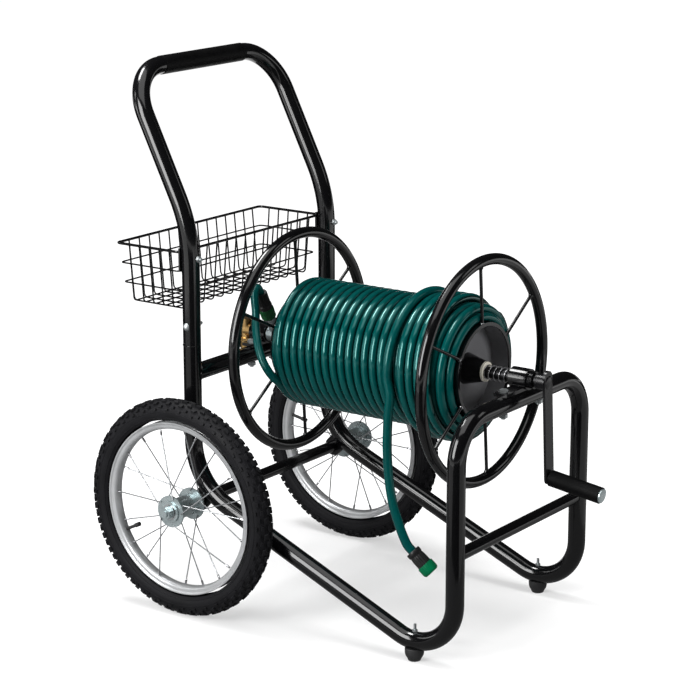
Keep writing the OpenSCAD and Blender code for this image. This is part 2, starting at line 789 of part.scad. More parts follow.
module reel_shaft() {
  front_end = arm_y - arm_t/2 - 1;
  rear_end = rear_y + housing_len/2 + shaft_tail;
  zinc() difference() {
    bar([0, front_end, reel_z], [0, rear_end, reel_z], shaft_d);
    // Water way from the rear end to the outlet block
    bar([0, outlet_y - 6, reel_z], [0, rear_end + 1, reel_z], water_bore);
  }
}

module hub_washer() {
  color([0.85, 0.82, 0.72])
    bar([0, hub_front - seat_gap, reel_z], [0, hub_front - seat_gap - washer_t, reel_z],
      washer_d, shaft_d + 2*seat_gap);
}

// Drag spring between the washer and the front bearing
spring_from = hub_front - 2*seat_gap - washer_t;
spring_to = front_y + housing_len/2 + 0.3;
spring_r = (spring_d - spring_wire)/2;
spring_rings = 8;
function spring_point(a) = [spring_r*cos(a), spring_from - spring_wire/2 - seat_gap
  - (spring_from - spring_to - spring_wire - 2*seat_gap)*a/(360*spring_curls), reel_z + spring_r*sin(a)];
spring_path = [for (i = [0:spring_rings*spring_curls]) spring_point(360*i/spring_rings)];

// Adds a straight run at both ends of a path
function straight_ends(p, run, start_way, end_way) =
  concat([p[0] - start_way*run], p, [p[len(p) - 1] + end_way*run]);
spring_ends = straight_ends(spring_path, spring_wire, [0, 0, 1], [0, 0, 1]);

// Least gap of a coiled tube to itself: distance of each point to those about a turn further on
function least_gap(p, d, turn) = min([for (i = [0:len(p) - 1], k = [turn - 2:turn + 2])
  if (i + k < len(p)) norm(p[i + k] - p[i])]) - d;

module drag_spring() {
  color([0.8, 0.8, 0.82]) sweep(spring_ends, spring_wire, 6);
}

collar_w = 10;
collar_d = shaft_d + 10;

module shaft_collar() {
  y = front_y - housing_len/2 - 0.3;
  zinc() difference() {
    bar([0, y, reel_z], [0, y - collar_w, reel_z], collar_d, shaft_d + 2*seat_gap);
    translate([0, y - collar_w/2, reel_z]) cylinder(d = 5, h = collar_d);
  }
}

// Crank. Everything below is built hanging straight down and then turned about the reel axis.
module cranked() {
  translate([0, arm_y, reel_z]) rotate([0, -crank_turn, 0]) children();
}

boss_d = shaft_d + 8;
boss_len = 16;

module crank_arm() {
  black() cranked() difference() {
    union() {
      rotate([90, 0, 0]) translate([0, 0, -arm_t/2]) linear_extrude(arm_t) {
        translate([0, arm_rise]) circle(d = arm_w);
        translate([0, -crank_throw]) circle(d = arm_w);
        translate([-arm_w/2, -crank_throw]) square([arm_w, crank_throw + arm_rise]);
      }
      rotate([-90, 0, 0]) cylinder(d = boss_d, h = arm_t/2 + boss_len);
    }
    // Bore for the shaft, which ends just outside the arm
    translate([0, arm_t/2 + boss_len + 1, 0]) rotate([90, 0, 0])
      cylinder(d = shaft_d + 2*seat_gap, h = boss_len + arm_t + 2);
    pin_line() translate([0, 0, -2*arm_t]) cylinder(d = pin_d + 2*seat_gap, h = 4*arm_t);
  }
}

// Local frame of the grip's pin: +Z runs out along the pin
module pin_line() {
  translate([0, 0, -crank_throw]) rotate([90 + grip_droop, 0, 0]) children();
}

pin_head_d = pin_d + 5;
pin_head_t = 2;
pin_head_z = -(arm_t/2 + pin_head_d/2*sin(grip_droop) + seat_gap)/cos(grip_droop) - pin_head_t;
// Depth of the pin's outer end below the end of the grip, and of the pocket around it
pin_end_in = 8;
pocket_in = 10;
pin_keeper_t = 1.5;

module crank_pin() {
  zinc() cranked() pin_line() {
    translate([0, 0, pin_head_z]) cylinder(d = pin_head_d, h = pin_head_t);
    translate([0, 0, pin_head_z]) cylinder(d = pin_d, h = grip_start + grip_len - pin_end_in - pin_head_z);
    // Keeper that holds the grip on its pin
    translate([0, 0, grip_start + grip_len - pin_end_in - pin_keeper_t])
      cylinder(d = pin_d + 4, h = pin_keeper_t);
  }
}

module crank_grip() {
  color([0.03, 0.03, 0.03]) cranked() pin_line() translate([0, 0, grip_start]) difference() {
    cylinder(d = grip_d, h = grip_len);
    translate([0, 0, -1]) cylinder(d = pin_d + 2*run_gap, h = grip_len);
    translate([0, 0, grip_len - pocket_in]) cylinder(d = cap_d - 8, h = pocket_in + 1);
  }
}

module grip_cap() {
  zinc() cranked() pin_line() translate([0, 0, grip_start + grip_len + seat_gap]) {
    cylinder(d = cap_d, h = cap_len);
    translate([0, 0, -6]) cylinder(d = cap_d - 8 - 2*seat_gap, h = 7);
  }
}

// Hose winding: the shown layer, over a plain core that stands for the layers below it.
// The shown layer climbs onto a further layer in half a turn, near the front.
layer_step = hose_d*cos(30);
first_r = drum_d/2 + hose_d/2;
low_r = first_r + layer_step;
high_r = low_r + layer_step;
winding_rear = rear_ring_y - rear_margin;
start_turn = 225;
loop_rings = 24;
loop_flat = cos(180/loop_rings);
function climb(turn) = turn < low_turns ? 0 : turn > low_turns + 0.5 ? 1 : (turn - low_turns)*2;
function winding_r(turn) = low_r + (high_r - low_r)*climb(turn);
function winding_point(turn) = let (a = start_turn + 360*turn) [winding_r(turn)*cos(a),
  winding_rear - winding_pitch*turn + winding_lean*sin(a), reel_z + winding_r(turn)*sin(a)];
winding_path = [for (i = [0:loop_rings*winding_turns]) winding_point(i/loop_rings)];
start_way = [-sin(start_turn), 0, cos(start_turn)];
winding_ends = straight_ends(winding_path, hose_d, start_way,
  [-sin(start_turn + 360*winding_turns), 0, cos(start_turn + 360*winding_turns)]);

module hose_winding() {
  color([0, 0.42, 0.38]) sweep(winding_ends, hose_d, 6);
}

core_gap = 0.3;
front_turn_y = winding_rear - winding_pitch*winding_turns;
step_y = winding_rear - winding_pitch*(low_turns + 0.5) - hose_d/2 - winding_lean - 1;
core_front = front_turn_y - winding_pitch/4;
core_rear = winding_rear + hose_d/2 - winding_lean;
// Radius of the rounded turns that show at the ends of the core, and the step between them
end_turn_r = hose_d/2 - 1;
nest = winding_pitch/2;

// The layers below the shown one, as a plain core with the last turn of each layer rounded
module hose_core() {
  color([0, 0.32, 0.29]) difference() {
    union() {
      bar([0, core_front, reel_z], [0, core_rear, reel_z], 2*(low_r*loop_flat - hose_d/2 - core_gap));
      bar([0, core_front, reel_z], [0, step_y, reel_z], 2*(high_r*loop_flat - hose_d/2 - core_gap));
      bar([0, front_turn_y - 2*nest, reel_z], [0, core_front, reel_z], 2*first_r);
      for (t = [[low_r, front_turn_y - nest], [first_r, front_turn_y - 2*nest], [first_r, core_rear]])
        translate([0, t[1], reel_z]) rotate([90, 0, 0]) rotate_extrude()
          translate([t[0], 0]) circle(r = end_turn_r);
    }
    bar([0, front_turn_y - 4*nest, reel_z], [0, core_rear + hose_d, reel_z], drum_d + 2*seat_gap);
  }
}

// Outlet: the water leaves the shaft through a block, a threaded collar and a gooseneck
outlet_y = rear_y - tube_r - 15;
outlet_lean = 27;
outlet_w = 24;
stub_d = 16;
stub_top = 50;
stub_nut_f = 20;
stub_nut_t = 8;
leader_collar_d = 28;
collar_from = 41;
collar_to = 62;
leader_coupling_d = 24;
leader_coupling_to = 97;

module outlet_line() {
  translate([0, outlet_y, reel_z]) rotate([0, -outlet_lean, 0]) children();
}

module outlet_block() {
  zinc() outlet_line() difference() {
    union() {
      rotate([90, 0, 0]) cylinder(d = shaft_d + 8, h = outlet_w, center = true);
      cylinder(d = stub_d, h = stub_top);
      translate([0, 0, collar_from - stub_nut_t - 2]) hexagon(stub_nut_f, stub_nut_t);
    }
    rotate([90, 0, 0]) cylinder(d = shaft_d + 2*seat_gap, h = outlet_w + 2, center = true);
    cylinder(d = water_bore, h = stub_top + 1);
  }
}

module leader_collar() {
  color([0, 0.3, 0.12]) outlet_line() difference() {
    translate([0, 0, collar_from]) cylinder(d = leader_collar_d, h = collar_to - collar_from);
    translate([0, 0, collar_from - 1]) cylinder(d = stub_d + 2*seat_gap, h = stub_top - collar_from + 1);
    cylinder(d = water_bore, h = collar_to + 1);
  }
}

module leader_coupling() {
  black() outlet_line() difference() {
    union() {
      translate([0, 0, collar_to + seat_gap]) cylinder(d = leader_coupling_d + 2, h = 9);
      translate([0, 0, collar_to + seat_gap])
        cylinder(d = leader_coupling_d, h = leader_coupling_to - collar_to);
    }
    translate([0, 0, collar_to]) cylinder(d = water_bore, h = leader_coupling_to - collar_to - 2);
  }
}

// Route of the hose from that coupling to the winding: points from the reel axis, in X, Y ahead
// of the outlet, and Z, chosen by hand
leader_route = [[-52, 0.5, 97], [-59, 1.5, 98], [-65, 3, 91], [-68, 5.5, 78], [-70, 9, 62],
  [-75, 13, 45], [-85, 21, 29], [-97, 33, 13], [-106, 45, -4], [-111.5, 57, -20],
  [-112, 67.5, -33.5], [-107.5, 75, -45.5], [-100.5, 78.6, -53.3]];
// The last stretch runs straight into the first turn of the winding
leader_run = 8;
leader_way = [-sin(outlet_lean), 0, cos(outlet_lean)];
leader_from = [0, outlet_y, reel_z] + leader_way*(leader_coupling_to + 2*seat_gap);
leader_path = concat([leader_from, leader_from + leader_way*5],
  [for (q = leader_route) [q[0], outlet_y - q[1], reel_z + q[2]]],
  [for (d = [leader_run, seat_gap]) winding_ends[0] - start_way*d]);

module leader_hose() {
  color([0, 0.42, 0.38]) sweep(leader_path, hose_d, 10);
}

// Loose end of the hose: it lies over the drum beside the top layer and hangs down at the side.
// The hanging points are chosen by hand, in X from the reel axis, Y behind the front posts and
// Z from the reel axis.
tail_step = 7.5;
tail_r = (low_r + hose_d + soft_gap)/cos(tail_step/2);
tail_y = winding_rear - winding_pitch*(low_turns - 1) + 0.5;
tail_wrap = [for (a = [-60:tail_step:180]) [tail_r*cos(a), tail_y, reel_z + tail_r*sin(a)]];
tail_hang = [[-127, 186, -32], [-126, 190, -65], [-124, 193, -97], [-123, 194, -132],
  [-123, 192, -167], [-124, 187, -200], [-124, 180, -231], [-122, 171, -259], [-119, 162, -285],
  [-116, 153, -303], [-114, 146, -310]];
tail_path = concat(tail_wrap, [for (q = tail_hang) [q[0], front_y + q[1], reel_z + q[2]]]);
tail_end = tail_path[len(tail_path) - 1];
tail_way = unit(tail_end - tail_path[len(tail_path) - 2]);
coupling_d = 24;
coupling_len = 31;
tail_collar_d = 31;
tail_collar_len = 19;
// Bore of the female hose thread in the collar
socket_d = 27;
socket_depth = 15;

module hose_tail() {
  color([0, 0.42, 0.38]) sweep(tail_path, hose_d, 10);
}

// Rides on the hose end: +Z runs out along it
module tail_line() { framed(tail_end, square_to(tail_way), tail_way) children(); }

module tail_coupling() {
  black() tail_line() translate([0, 0, seat_gap]) difference() {
    union() {
      cylinder(d = coupling_d, h = coupling_len);
      cylinder(d = coupling_d + 3, h = 9);
    }
    translate([0, 0, 4]) cylinder(d = water_bore, h = coupling_len);
  }
}

module tail_collar() {
  color([0, 0.5, 0.2]) tail_line() translate([0, 0, 2*seat_gap + coupling_len]) difference() {
    cylinder(d = tail_collar_d, h = tail_collar_len);
    translate([0, 0, tail_collar_len - socket_depth]) cylinder(d = socket_d, h = socket_depth + 1);
    translate([0, 0, -1]) cylinder(d = water_bore, h = tail_collar_len);
  }
}

// Wheels, each built about the X axis and moved to its place
module at_wheel(s) { translate([s*track/2, axle_y, wheel_r]) children(); }
module spun() { rotate([0, 90, 0]) rotate_extrude() children(); }

bead_h = 7;
bead_t = 3;
// The tyre has an oval section between its tread and the edge of the rim, of this height and
// width; at the usual sizes it is round
casing_mid_r = (wheel_r + rim_d/2 - tyre_wall)/2;
casing_h = wheel_r - rim_d/2 + tyre_wall;
casing_w = tyre_w;

module oval(h, w) { scale([1, w/h]) circle(d = h); }

module tyre(s) {
  color([0.05, 0.05, 0.055]) at_wheel(s) spun() {
    difference() {
      translate([casing_mid_r, 0]) oval(casing_h, casing_w);
      translate([casing_mid_r, 0]) oval(casing_h - 2*tyre_wall, casing_w - 2*tyre_wall);
      square([2*(rim_d/2 + seat_gap), tyre_w], center = true);
    }
    // Beads inside the rim's walls
    for (v = [-1, 1])
      translate([rim_d/2 - bead_h, v*(rim_w/2 - rim_wall - seat_gap) - (v > 0 ? bead_t : 0)])
        square([bead_h + 0.75*tyre_wall, bead_t]);
  }
}

module rim(s) {
  color([0.8, 0.81, 0.82]) at_wheel(s) spun() difference() {
    translate([rim_d/2 - rim_depth, -rim_w/2]) square([rim_depth, rim_w]);
    translate([rim_d/2 - rim_depth + rim_wall, -rim_w/2 + rim_wall])
      square([rim_depth, rim_w - 2*rim_wall]);
  }
}

// Crossed spokes: each leans round the wheel, and neighbours lean opposite ways
spoke_inner_r = hub_flange_d/2 - 4;
// The outer end stops short of the rim's floor by the lean of the spoke
spoke_short = 0.3;
spoke_outer_r = rim_d/2 - rim_depth - spoke_short;
flange_x = hub_len/2 - 3;
// Sideways places, off the middle of the rim, where inner and outer spokes reach it
inner_tip_x = 2;
outer_tip_x = 5.5;
// Length of a spoke seen from the side, and the part of it that crosses its flange
spoke_rise = spoke_outer_r*cos(spoke_lean) - spoke_inner_r;
spoke_run = norm([spoke_rise, spoke_outer_r*sin(spoke_lean)]);
spoke_over = (hub_flange_d/2 - spoke_inner_r)*spoke_run/spoke_rise;
// Half the thickness of a spoke across a flange's face
spoke_half = spoke_d/2*sqrt(1 + pow(flange_x/spoke_run, 2));
inner_foot_x = flange_x - hub_flange_t - seat_gap - spoke_half;
outer_edge_x = flange_x + seat_gap + spoke_half;
outer_foot_x = outer_edge_x + (outer_edge_x - outer_tip_x)*spoke_over/(spoke_run - spoke_over);

module wheel_spokes(s) {
  half = spoke_count/2;
  color([0.75, 0.75, 0.76]) at_wheel(s) for (side = [-1, 1], i = [0:half - 1]) {
    way = i % 2 == 0 ? 1 : -1;
    foot = (i + (side > 0 ? 0.5 : 0))*360/half;
    tip = foot + way*spoke_lean;
    x = side*[way > 0 ? inner_foot_x : outer_foot_x, way > 0 ? inner_tip_x : outer_tip_x];
    bar([x[0], spoke_inner_r*cos(foot), spoke_inner_r*sin(foot)],
      [x[1], spoke_outer_r*cos(tip), spoke_outer_r*sin(tip)], spoke_d);
  }
}

module hub(s) {
  color([0.78, 0.79, 0.8]) at_wheel(s) difference() {
    union() {
      bar([-hub_len/2, 0, 0], [hub_len/2, 0, 0], hub_d);
      for (v = [-1, 1]) bar([v*(flange_x - hub_flange_t), 0, 0], [v*flange_x, 0, 0], hub_flange_d);
    }
    bar([-hub_len, 0, 0], [hub_len, 0, 0], axle_d + 6);
    for (v = [-1, 1]) bar([v*(hub_len/2 - bearing_w), 0, 0], [v*hub_len, 0, 0], bearing_d);
  }
}

module bearings(s) {
  zinc() at_wheel(s) for (v = [-1, 1])
    bar([v*(hub_len/2 - bearing_w), 0, 0], [v*hub_len/2, 0, 0], bearing_d, axle_d + 2*run_gap);
}

// Turn of the left and of the right wheel's valve, from the rear towards the top
valve_turns = [-27, 10];
valve_d = 6;
valve_len = 26;

module valve(s) {
  foot = rim_d/2 - rim_depth - seat_gap;
  black() at_wheel(s) rotate([valve_turns[s < 0 ? 0 : 1], 0, 0]) {
    bar([0, foot - valve_len, 0], [0, foot, 0], valve_d);
    bar([0, foot - valve_len - 8, 0], [0, foot - valve_len + 3, 0], valve_d + 2);
  }
}

module left_tyre() { tyre(-1); }
module left_rim() { rim(-1); }
module left_spokes() { wheel_spokes(-1); }
module left_hub() { hub(-1); }
module left_bearings() { bearings(-1); }
module left_valve() { valve(-1); }
module right_tyre() { tyre(1); }
module right_rim() { rim(1); }
module right_spokes() { wheel_spokes(1); }
module right_hub() { hub(1); }
module right_bearings() { bearings(1); }
module right_valve() { valve(1); }

echo("least gap of the hose winding to itself", least_gap(winding_ends, hose_d, loop_rings));
echo("least gap of the drag spring to itself", least_gap(spring_ends, spring_wire, spring_rings));

left_side_tube();
right_side_tube();
front_hoop();
front_crossbar();
rear_crossbar();
axle_tube();
axle_rod();
axle_nuts();
handle_tube();
handle_spigots();
post_bolts();
handle_sleeve();
feet();
foot_bolts();
bearing_blocks();
shaft_bushes();
block_bolts();
inlet_elbow();
basket_rim();
basket_hoops();
basket_cross_wires();
basket_long_wires();
basket_brackets();
hose_tail();
tail_coupling();
tail_collar();
front_flange_ring();
rear_flange_ring();
front_flange_spokes();
rear_flange_spokes();
drum_tube();
front_drum_plate();
rear_drum_plate();
front_hub();
reel_shaft();
hub_washer();
drag_spring();
shaft_collar();
crank_arm();
crank_pin();
hose_core();
hose_winding();
outlet_block();
leader_collar();
leader_coupling();
leader_hose();
crank_grip();
grip_cap();
left_tyre();
left_rim();
left_spokes();
left_hub();
left_bearings();
left_valve();
right_tyre();
right_rim();
right_spokes();
right_hub();
right_bearings();
right_valve();
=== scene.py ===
"""Builds the dressed model of a two-wheeled garden hose reel cart round its measured frame.

Lengths are metres. X runs across the cart, Y from the crank towards the wheels, and Z up.
"""

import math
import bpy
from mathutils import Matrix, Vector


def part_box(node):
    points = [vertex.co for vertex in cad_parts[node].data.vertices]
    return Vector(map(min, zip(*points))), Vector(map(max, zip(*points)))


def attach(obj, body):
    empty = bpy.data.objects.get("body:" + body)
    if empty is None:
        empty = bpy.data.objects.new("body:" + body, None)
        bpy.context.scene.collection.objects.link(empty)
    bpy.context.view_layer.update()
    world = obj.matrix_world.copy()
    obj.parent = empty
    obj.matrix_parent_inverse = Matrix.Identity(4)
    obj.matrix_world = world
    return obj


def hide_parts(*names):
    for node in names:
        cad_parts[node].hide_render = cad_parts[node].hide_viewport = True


bl_info = {
    "name": "Hose Reel Cart",
    "version": (1, 0, 0),
    "blender": (4, 5, 0),
    "location": "3D View > Sidebar > Hose Cart",
    "description": "Builds the hose, tyres, fittings and finishes of a hose reel cart",
    "category": "Add Mesh",
}

import bmesh
import bpy
import numpy as np
from mathutils import Vector

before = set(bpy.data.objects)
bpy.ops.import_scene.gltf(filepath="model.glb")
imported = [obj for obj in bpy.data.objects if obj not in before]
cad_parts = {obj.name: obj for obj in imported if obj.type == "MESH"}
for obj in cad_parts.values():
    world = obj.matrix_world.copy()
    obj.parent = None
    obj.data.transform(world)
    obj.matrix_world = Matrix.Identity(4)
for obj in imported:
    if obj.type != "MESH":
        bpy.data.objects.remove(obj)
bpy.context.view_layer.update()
MM = 0.001


# Places taken from the frame

def middle(node):
    """Middle of a CAD node's box."""
    low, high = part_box(node)
    return (np.array(low) + np.array(high)) / 2


def reach(node):
    """Size of a CAD node's box along X, Y and Z."""
    low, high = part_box(node)
    return np.array(high) - np.array(low)


REEL_Z = float(middle("front_flange_ring")[2])
FRONT_RING_Y = float(middle("front_flange_ring")[1])
REAR_RING_Y = float(middle("rear_flange_ring")[1])
WHEELS = {side: float(middle(f"{side}_tyre")[0]) for side in ("left", "right")}
AXLE = middle("left_tyre")[1:]
TYRE_R = float(reach("left_tyre")[2]) / 2
TYRE_SECTION_R = float(reach("left_tyre")[0]) / 2
POST_X = float(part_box("feet")[1][0] - reach("feet")[1] / 2)
POST_Y = float(middle("handle_spigots")[1])
FOOT_Y = float(middle("feet")[1])

# Radius of the frame's tubes, middle of the side tubes, radius of each crossbar's seam, ends and
# angles of the flange rods, and wheel spokes on one flange
TUBE_R = 16 * MM
SIDE_X = 203 * MM
CROSSBAR_SEAMS = {"front_crossbar": 11 * MM, "rear_crossbar": 15.5 * MM}
ROD_INNER_END = 86 * MM
ROD_OUTER_END = 186 * MM
ROD_ANGLES = np.radians(34.5 + 60 * np.arange(6))
SPOKES = 10

# Hose: its route is the one in the part's source
HOSE_D = 16.4 * MM
HOSE_R = HOSE_D / 2
WOUND_R = HOSE_R - 0.2 * MM
HIDDEN_R = HOSE_R - 0.7 * MM
HOSE_SIDES = 24
HOSE_SCALE = (1.0, 1.0 / (math.pi * HOSE_D))
LOOSE_END_RUN = 12 * MM
WOUND_END_RUN = 30 * MM
END_LEAST = 0.02
PITCH = 17 * MM
TURNS = 20.5
TURN_STEPS = 60
LOW_TURNS = 16.3
LEAN = 5 * MM
START_ANGLE = math.radians(225)
FIRST_R = 94.2 * MM
LOW_R = 108.4028 * MM
HIGH_R = 122.6056 * MM
WINDING_REAR = 159.9374 * MM
LAYER_INSET = 7.2 * MM
OUTLET_Y = 235.9374 * MM
OUTLET_LEAN = math.radians(27)
OUTLET_AT = np.array([0.0, OUTLET_Y, REEL_Z])
OUTLET_WAY = np.array([-math.sin(OUTLET_LEAN), 0.0, math.cos(OUTLET_LEAN)])
LEADER_START = 97.04 * MM
LEADER_STEPS = 190
LEADER_ROUTE = [
    (-52, 0.5, 97), (-59, 1.5, 98), (-65, 3, 91), (-68, 5.5, 78), (-70, 9, 62), (-75, 13, 45),
    (-85, 21, 29), (-97, 33, 13), (-106, 45, -4), (-111.5, 57, -20), (-112, 67.5, -33.5),
    (-107.5, 75, -45.5), (-100.5, 78.6, -53.3),
]
TAIL_R = 125.3 * MM
TAIL_Y = -99.6626 * MM
TAIL_STEPS = 330
HANG_FROM_Y = -0.2930626
TAIL_HANG = [
    (-127, 186, -32), (-126, 190, -65), (-124, 193, -97), (-123, 194, -132), (-123, 192, -167),
    (-124, 187, -200), (-124, 180, -231), (-122, 171, -259), (-119, 162, -285), (-116, 153, -303),
    (-114, 146, -310),
]

# Surface details, and the points in one round of each kind of piece
SHARP_ANGLE = math.radians(35)
SLEEVE_STEPS, SLEEVE_RIBS = 96, 16
COLLAR_STEPS = 120
LAYER_STEPS, LAYER_SIDES = 96, 20
TYRE_STEPS, TYRE_SIDES = 144, 44
RIM_STEPS = 160
POST_STEPS = 64
BEAD_STEPS = 14
SEAM_STEPS = 48
SEAM_R = 1.5 * MM
LIP_R = 0.55 * MM
FIT_GAP = 0.02 * MM
RIB_POWER = 1 / 0.35
GRAIN_DEPTH = 0.4 * MM
KNOB_TAPER = 0.82
KNOB_ROOT = 1.2 * MM
TYRE_WALL = 4.5 * MM
BEAD_ANGLE = math.radians(142)
# Raised rings on each sidewall: angle of the section, and radius of the ring's own section
SIDEWALL_RINGS = ((1.50, 0.7 * MM), (2.12, 0.9 * MM))
# Rows of tread knobs on each half of a tyre: shift round it in steps, length, place and half
# width as angles of the section, how far the heads stay under the top, and skew
KNOB_ROWS = [
    (1.0, 1.1, 0.36, 0.15, 0.0, 0.06), (0.0, 1.0, 0.66, 0.13, 0.0, -0.05),
    (0.9, 0.9, 0.98, 0.13, 0.3 * MM, 0.0), (0.0, 0.8, 1.24, 0.10, 1.2 * MM, 0.0),
]
SPRING_CURLS, CURL_STEPS = 6, 40
SPRING_FLAT = 0.10

# Studio
WHITE = (1.0, 1.0, 1.0, 1.0)
CAMERA_AT = (-3.2947, -2.27926, 1.5097)
CAMERA_AIM = (-0.39546, -0.21406, 0.58795)
LENS = 119.51
SENSOR_WIDTH = 36.0
FLOOR_REACH = 30.0
SURROUND_LIGHT = 0.10
SURROUND_IN_REFLECTIONS = 0.02
CART_MIDDLE = (0.0, 0.0, 0.45)
# Lamps: place, aim, width, height and watts
LAMPS = [
    ("Overhead", (-0.6, -0.2, 3.2), (0.0, 0.0, 0.0), 2.6, 2.6, 42),
    ("Soft box left", (-2.45, 0.55, 1.45), CART_MIDDLE, 1.35, 1.7, 84),
    ("Strip behind left", (-1.5, 2.35, 1.1), CART_MIDDLE, 0.35, 2.0, 9),
    ("Soft box right", (1.9, -2.3, 2.1), CART_MIDDLE, 0.8, 1.0, 4),
    ("Soft box behind", (-0.15, 1.3, 3.05), CART_MIDDLE, 1.1, 0.7, 60),
    ("Fill front", (0.25, -3.1, 1.4), CART_MIDDLE, 1.2, 1.2, 45),
]
UNREFLECTED_LAMP = "Fill front"
CARD_GLOWS = {"Black card": 0.0, "Dark card": 0.22, "Grey card": 0.5}
# Cards: inner and outer radius, first and last angle in degrees, and finish
CARDS = [
    ("card_under", 0.0, 0.8, 0, 360, "Dark card"),
    ("card_front", 0.8, 8.0, 186, 248, "Black card"),
    ("card_left", 0.8, 8.0, 55, 128, "Black card"),
    ("card_right", 0.8, 8.0, 335, 385, "Black card"),
    ("card_low_right", 0.8, 2.4, 248, 335, "Grey card"),
    ("card_low_left", 0.8, 2.6, 128, 186, "Grey card"),
]
CARD_LIFT = 2 * MM
CARD_STEPS = 32


# Surfaces

def unit(v):
    """Vectors scaled to length one along their last axis."""
    v = np.asarray(v, float)
    return v / np.linalg.norm(v, axis=-1, keepdims=True)


def along(line):
    """Length from the start of a line to each of its points."""
    steps = np.linalg.norm(np.diff(line, axis=0), axis=1)
    return np.concatenate([[0.0], np.cumsum(steps)])


def smooth_line(points, count):
    """Cubic through the points: between two of them each coordinate is the Hermite cubic whose
    slopes are the differences of the neighbours over the chord length, at equal lengths."""
    points = np.asarray(points, float)
    s = along(points)
    slope = np.gradient(points, s, axis=0)
    t = np.linspace(0, s[-1], count)
    i = np.clip(np.searchsorted(s, t, side="right") - 1, 0, len(s) - 2)
    h = (s[i + 1] - s[i])[:, None]
    u = ((t - s[i])[:, None]) / h
    return (
        (2 * u**3 - 3 * u**2 + 1) * points[i]
        + (u**3 - 2 * u**2 + u) * h * slope[i]
        + (-2 * u**3 + 3 * u**2) * points[i + 1]
        + (u**3 - u**2) * h * slope[i + 1]
    )


def circle(count):
    """Equal angles once round."""
    return np.linspace(0, 2 * math.pi, count, endpoint=False)


def round_profile(place, radius, thick, sides):
    """Circle of a ring's section: place + thick sin a along the axis, radius + thick cos a."""
    a = circle(sides)
    return np.stack([place + thick * np.sin(a), radius + thick * np.cos(a)], -1)


def tube_points(line, radius, sides):
    """Round tube: at each point of the line a circle square to it, line + r (cos a * side
    + sin a * up), where side is the tangent crossed with the Y axis."""
    tangent = unit(np.gradient(line, axis=0))
    side = unit(np.cross(tangent, (0.0, 1.0, 0.0)))
    up = np.cross(side, tangent)
    a = circle(sides)
    r = np.broadcast_to(np.asarray(radius, float), (len(line),))[:, None, None]
    rim = np.cos(a)[None, :, None] * side[:, None] + np.sin(a)[None, :, None] * up[:, None]
    return line[:, None] + r * rim


def turned_points(profile, steps, origin, axis, radius_of=None):
    """Surface of revolution: each (distance along the axis, radius) of the profile goes round
    the axis in equal angles, and radius_of may change the radius with the angle."""
    profile = np.asarray(profile, float)
    axis = unit(axis)
    start = unit(np.cross(axis, [0.0, 0.0, 1.0] if abs(axis[2]) < 0.9 else [1.0, 0.0, 0.0]))
    other = np.cross(axis, start)
    a = circle(steps)
    r = np.repeat(profile[:, 1:2], steps, axis=1)
    if radius_of is not None:
        r = radius_of(profile[:, 0:1], r, a[None, :])
    spokes = np.cos(a)[:, None] * start + np.sin(a)[:, None] * other
    return (np.asarray(origin, float) + profile[:, 0][:, None, None] * axis
            + r[:, :, None] * spokes[None])


def grid_faces(rows, columns, ring_rows):
    """Four-sided faces between each row and the next, and each column and the next; columns
    close into rings, and rows do too where ring_rows is true."""
    r = np.arange(rows if ring_rows else rows - 1)[:, None]
    c = np.arange(columns)[None, :]
    r2, c2 = (r + 1) % rows, (c + 1) % columns
    return np.stack(np.broadcast_arrays(
        r * columns + c, r * columns + c2, r2 * columns + c2, r2 * columns + c), -1).reshape(-1, 4)


class Shell:
    """Points, faces and pattern coordinates gathered for one piece."""

    def __init__(self):
        self.points, self.faces, self.uvs, self.count = [], [], [], 0

    def add(self, grid, ring_rows=False, scale=(1.0, 1.0)):
        """Adds a grid of points whose rows are rings, with a cap on the first and the last row
        unless the rows close into a ring too. U runs round a row and V along the rows, each
        times its scale."""
        rows, columns = grid.shape[:2]
        faces = grid_faces(rows, columns, ring_rows)
        r, c = faces // columns, faces % columns
        v = along(grid[:, 0] if ring_rows else grid.mean(axis=1))
        u_loop = c.astype(float)
        u_loop[:, [1, 2]] = c[:, [0, 3]] + 1.0
        v_loop = v[r]
        if ring_rows:
            last = r[:, 0] == rows - 1
            v_loop[last, 2] = v_loop[last, 3] = v[-1] * (1 + 1 / rows)
        uv = np.stack([u_loop / columns * scale[0], v_loop * scale[1]], -1)
        self.faces += (faces + self.count).tolist()
        self.uvs.append(uv.reshape(-1, 2))
        if not ring_rows:
            for cap in (np.arange(columns)[::-1], np.arange(columns) + (rows - 1) * columns):
                self.faces.append((cap + self.count).tolist())
                self.uvs.append(np.zeros((columns, 2)))
        self.points.append(grid.reshape(-1, 3))
        self.count += rows * columns
        return self

    def add_faces(self, points, faces):
        """Adds loose faces, all with the same number of corners."""
        self.faces += (faces + self.count).tolist()
        self.uvs.append(np.zeros((faces.size, 2)))
        self.points.append(points)
        self.count += len(points)

    def piece(self, name, body, key, replaces=(), slot=None):
        """Makes the mesh with the finish of that key, turns its faces outward, shades it smooth up
        to the sharp angle, and puts it on its body. The slot argument is not used."""
        mesh = bpy.data.meshes.new(name)
        mesh.from_pydata(np.concatenate(self.points), [], self.faces)
        layer = mesh.uv_layers.new(name="Pattern")
        layer.data.foreach_set("uv", np.concatenate(self.uvs).ravel())
        shape = bmesh.new()
        shape.from_mesh(mesh)
        bmesh.ops.recalc_face_normals(shape, faces=shape.faces)
        shape.to_mesh(mesh)
        shape.free()
        mesh.materials.append(stock(key))
        mesh.polygons.foreach_set("use_smooth", np.ones(len(mesh.polygons), bool))
        mesh.set_sharp_from_angle(angle=SHARP_ANGLE)
        mesh.update()
        piece = bpy.data.objects.new(name, mesh)
        bpy.context.scene.collection.objects.link(piece)
        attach(piece, body)
        if replaces:
            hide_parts(*replaces)
        return piece


# Finishes

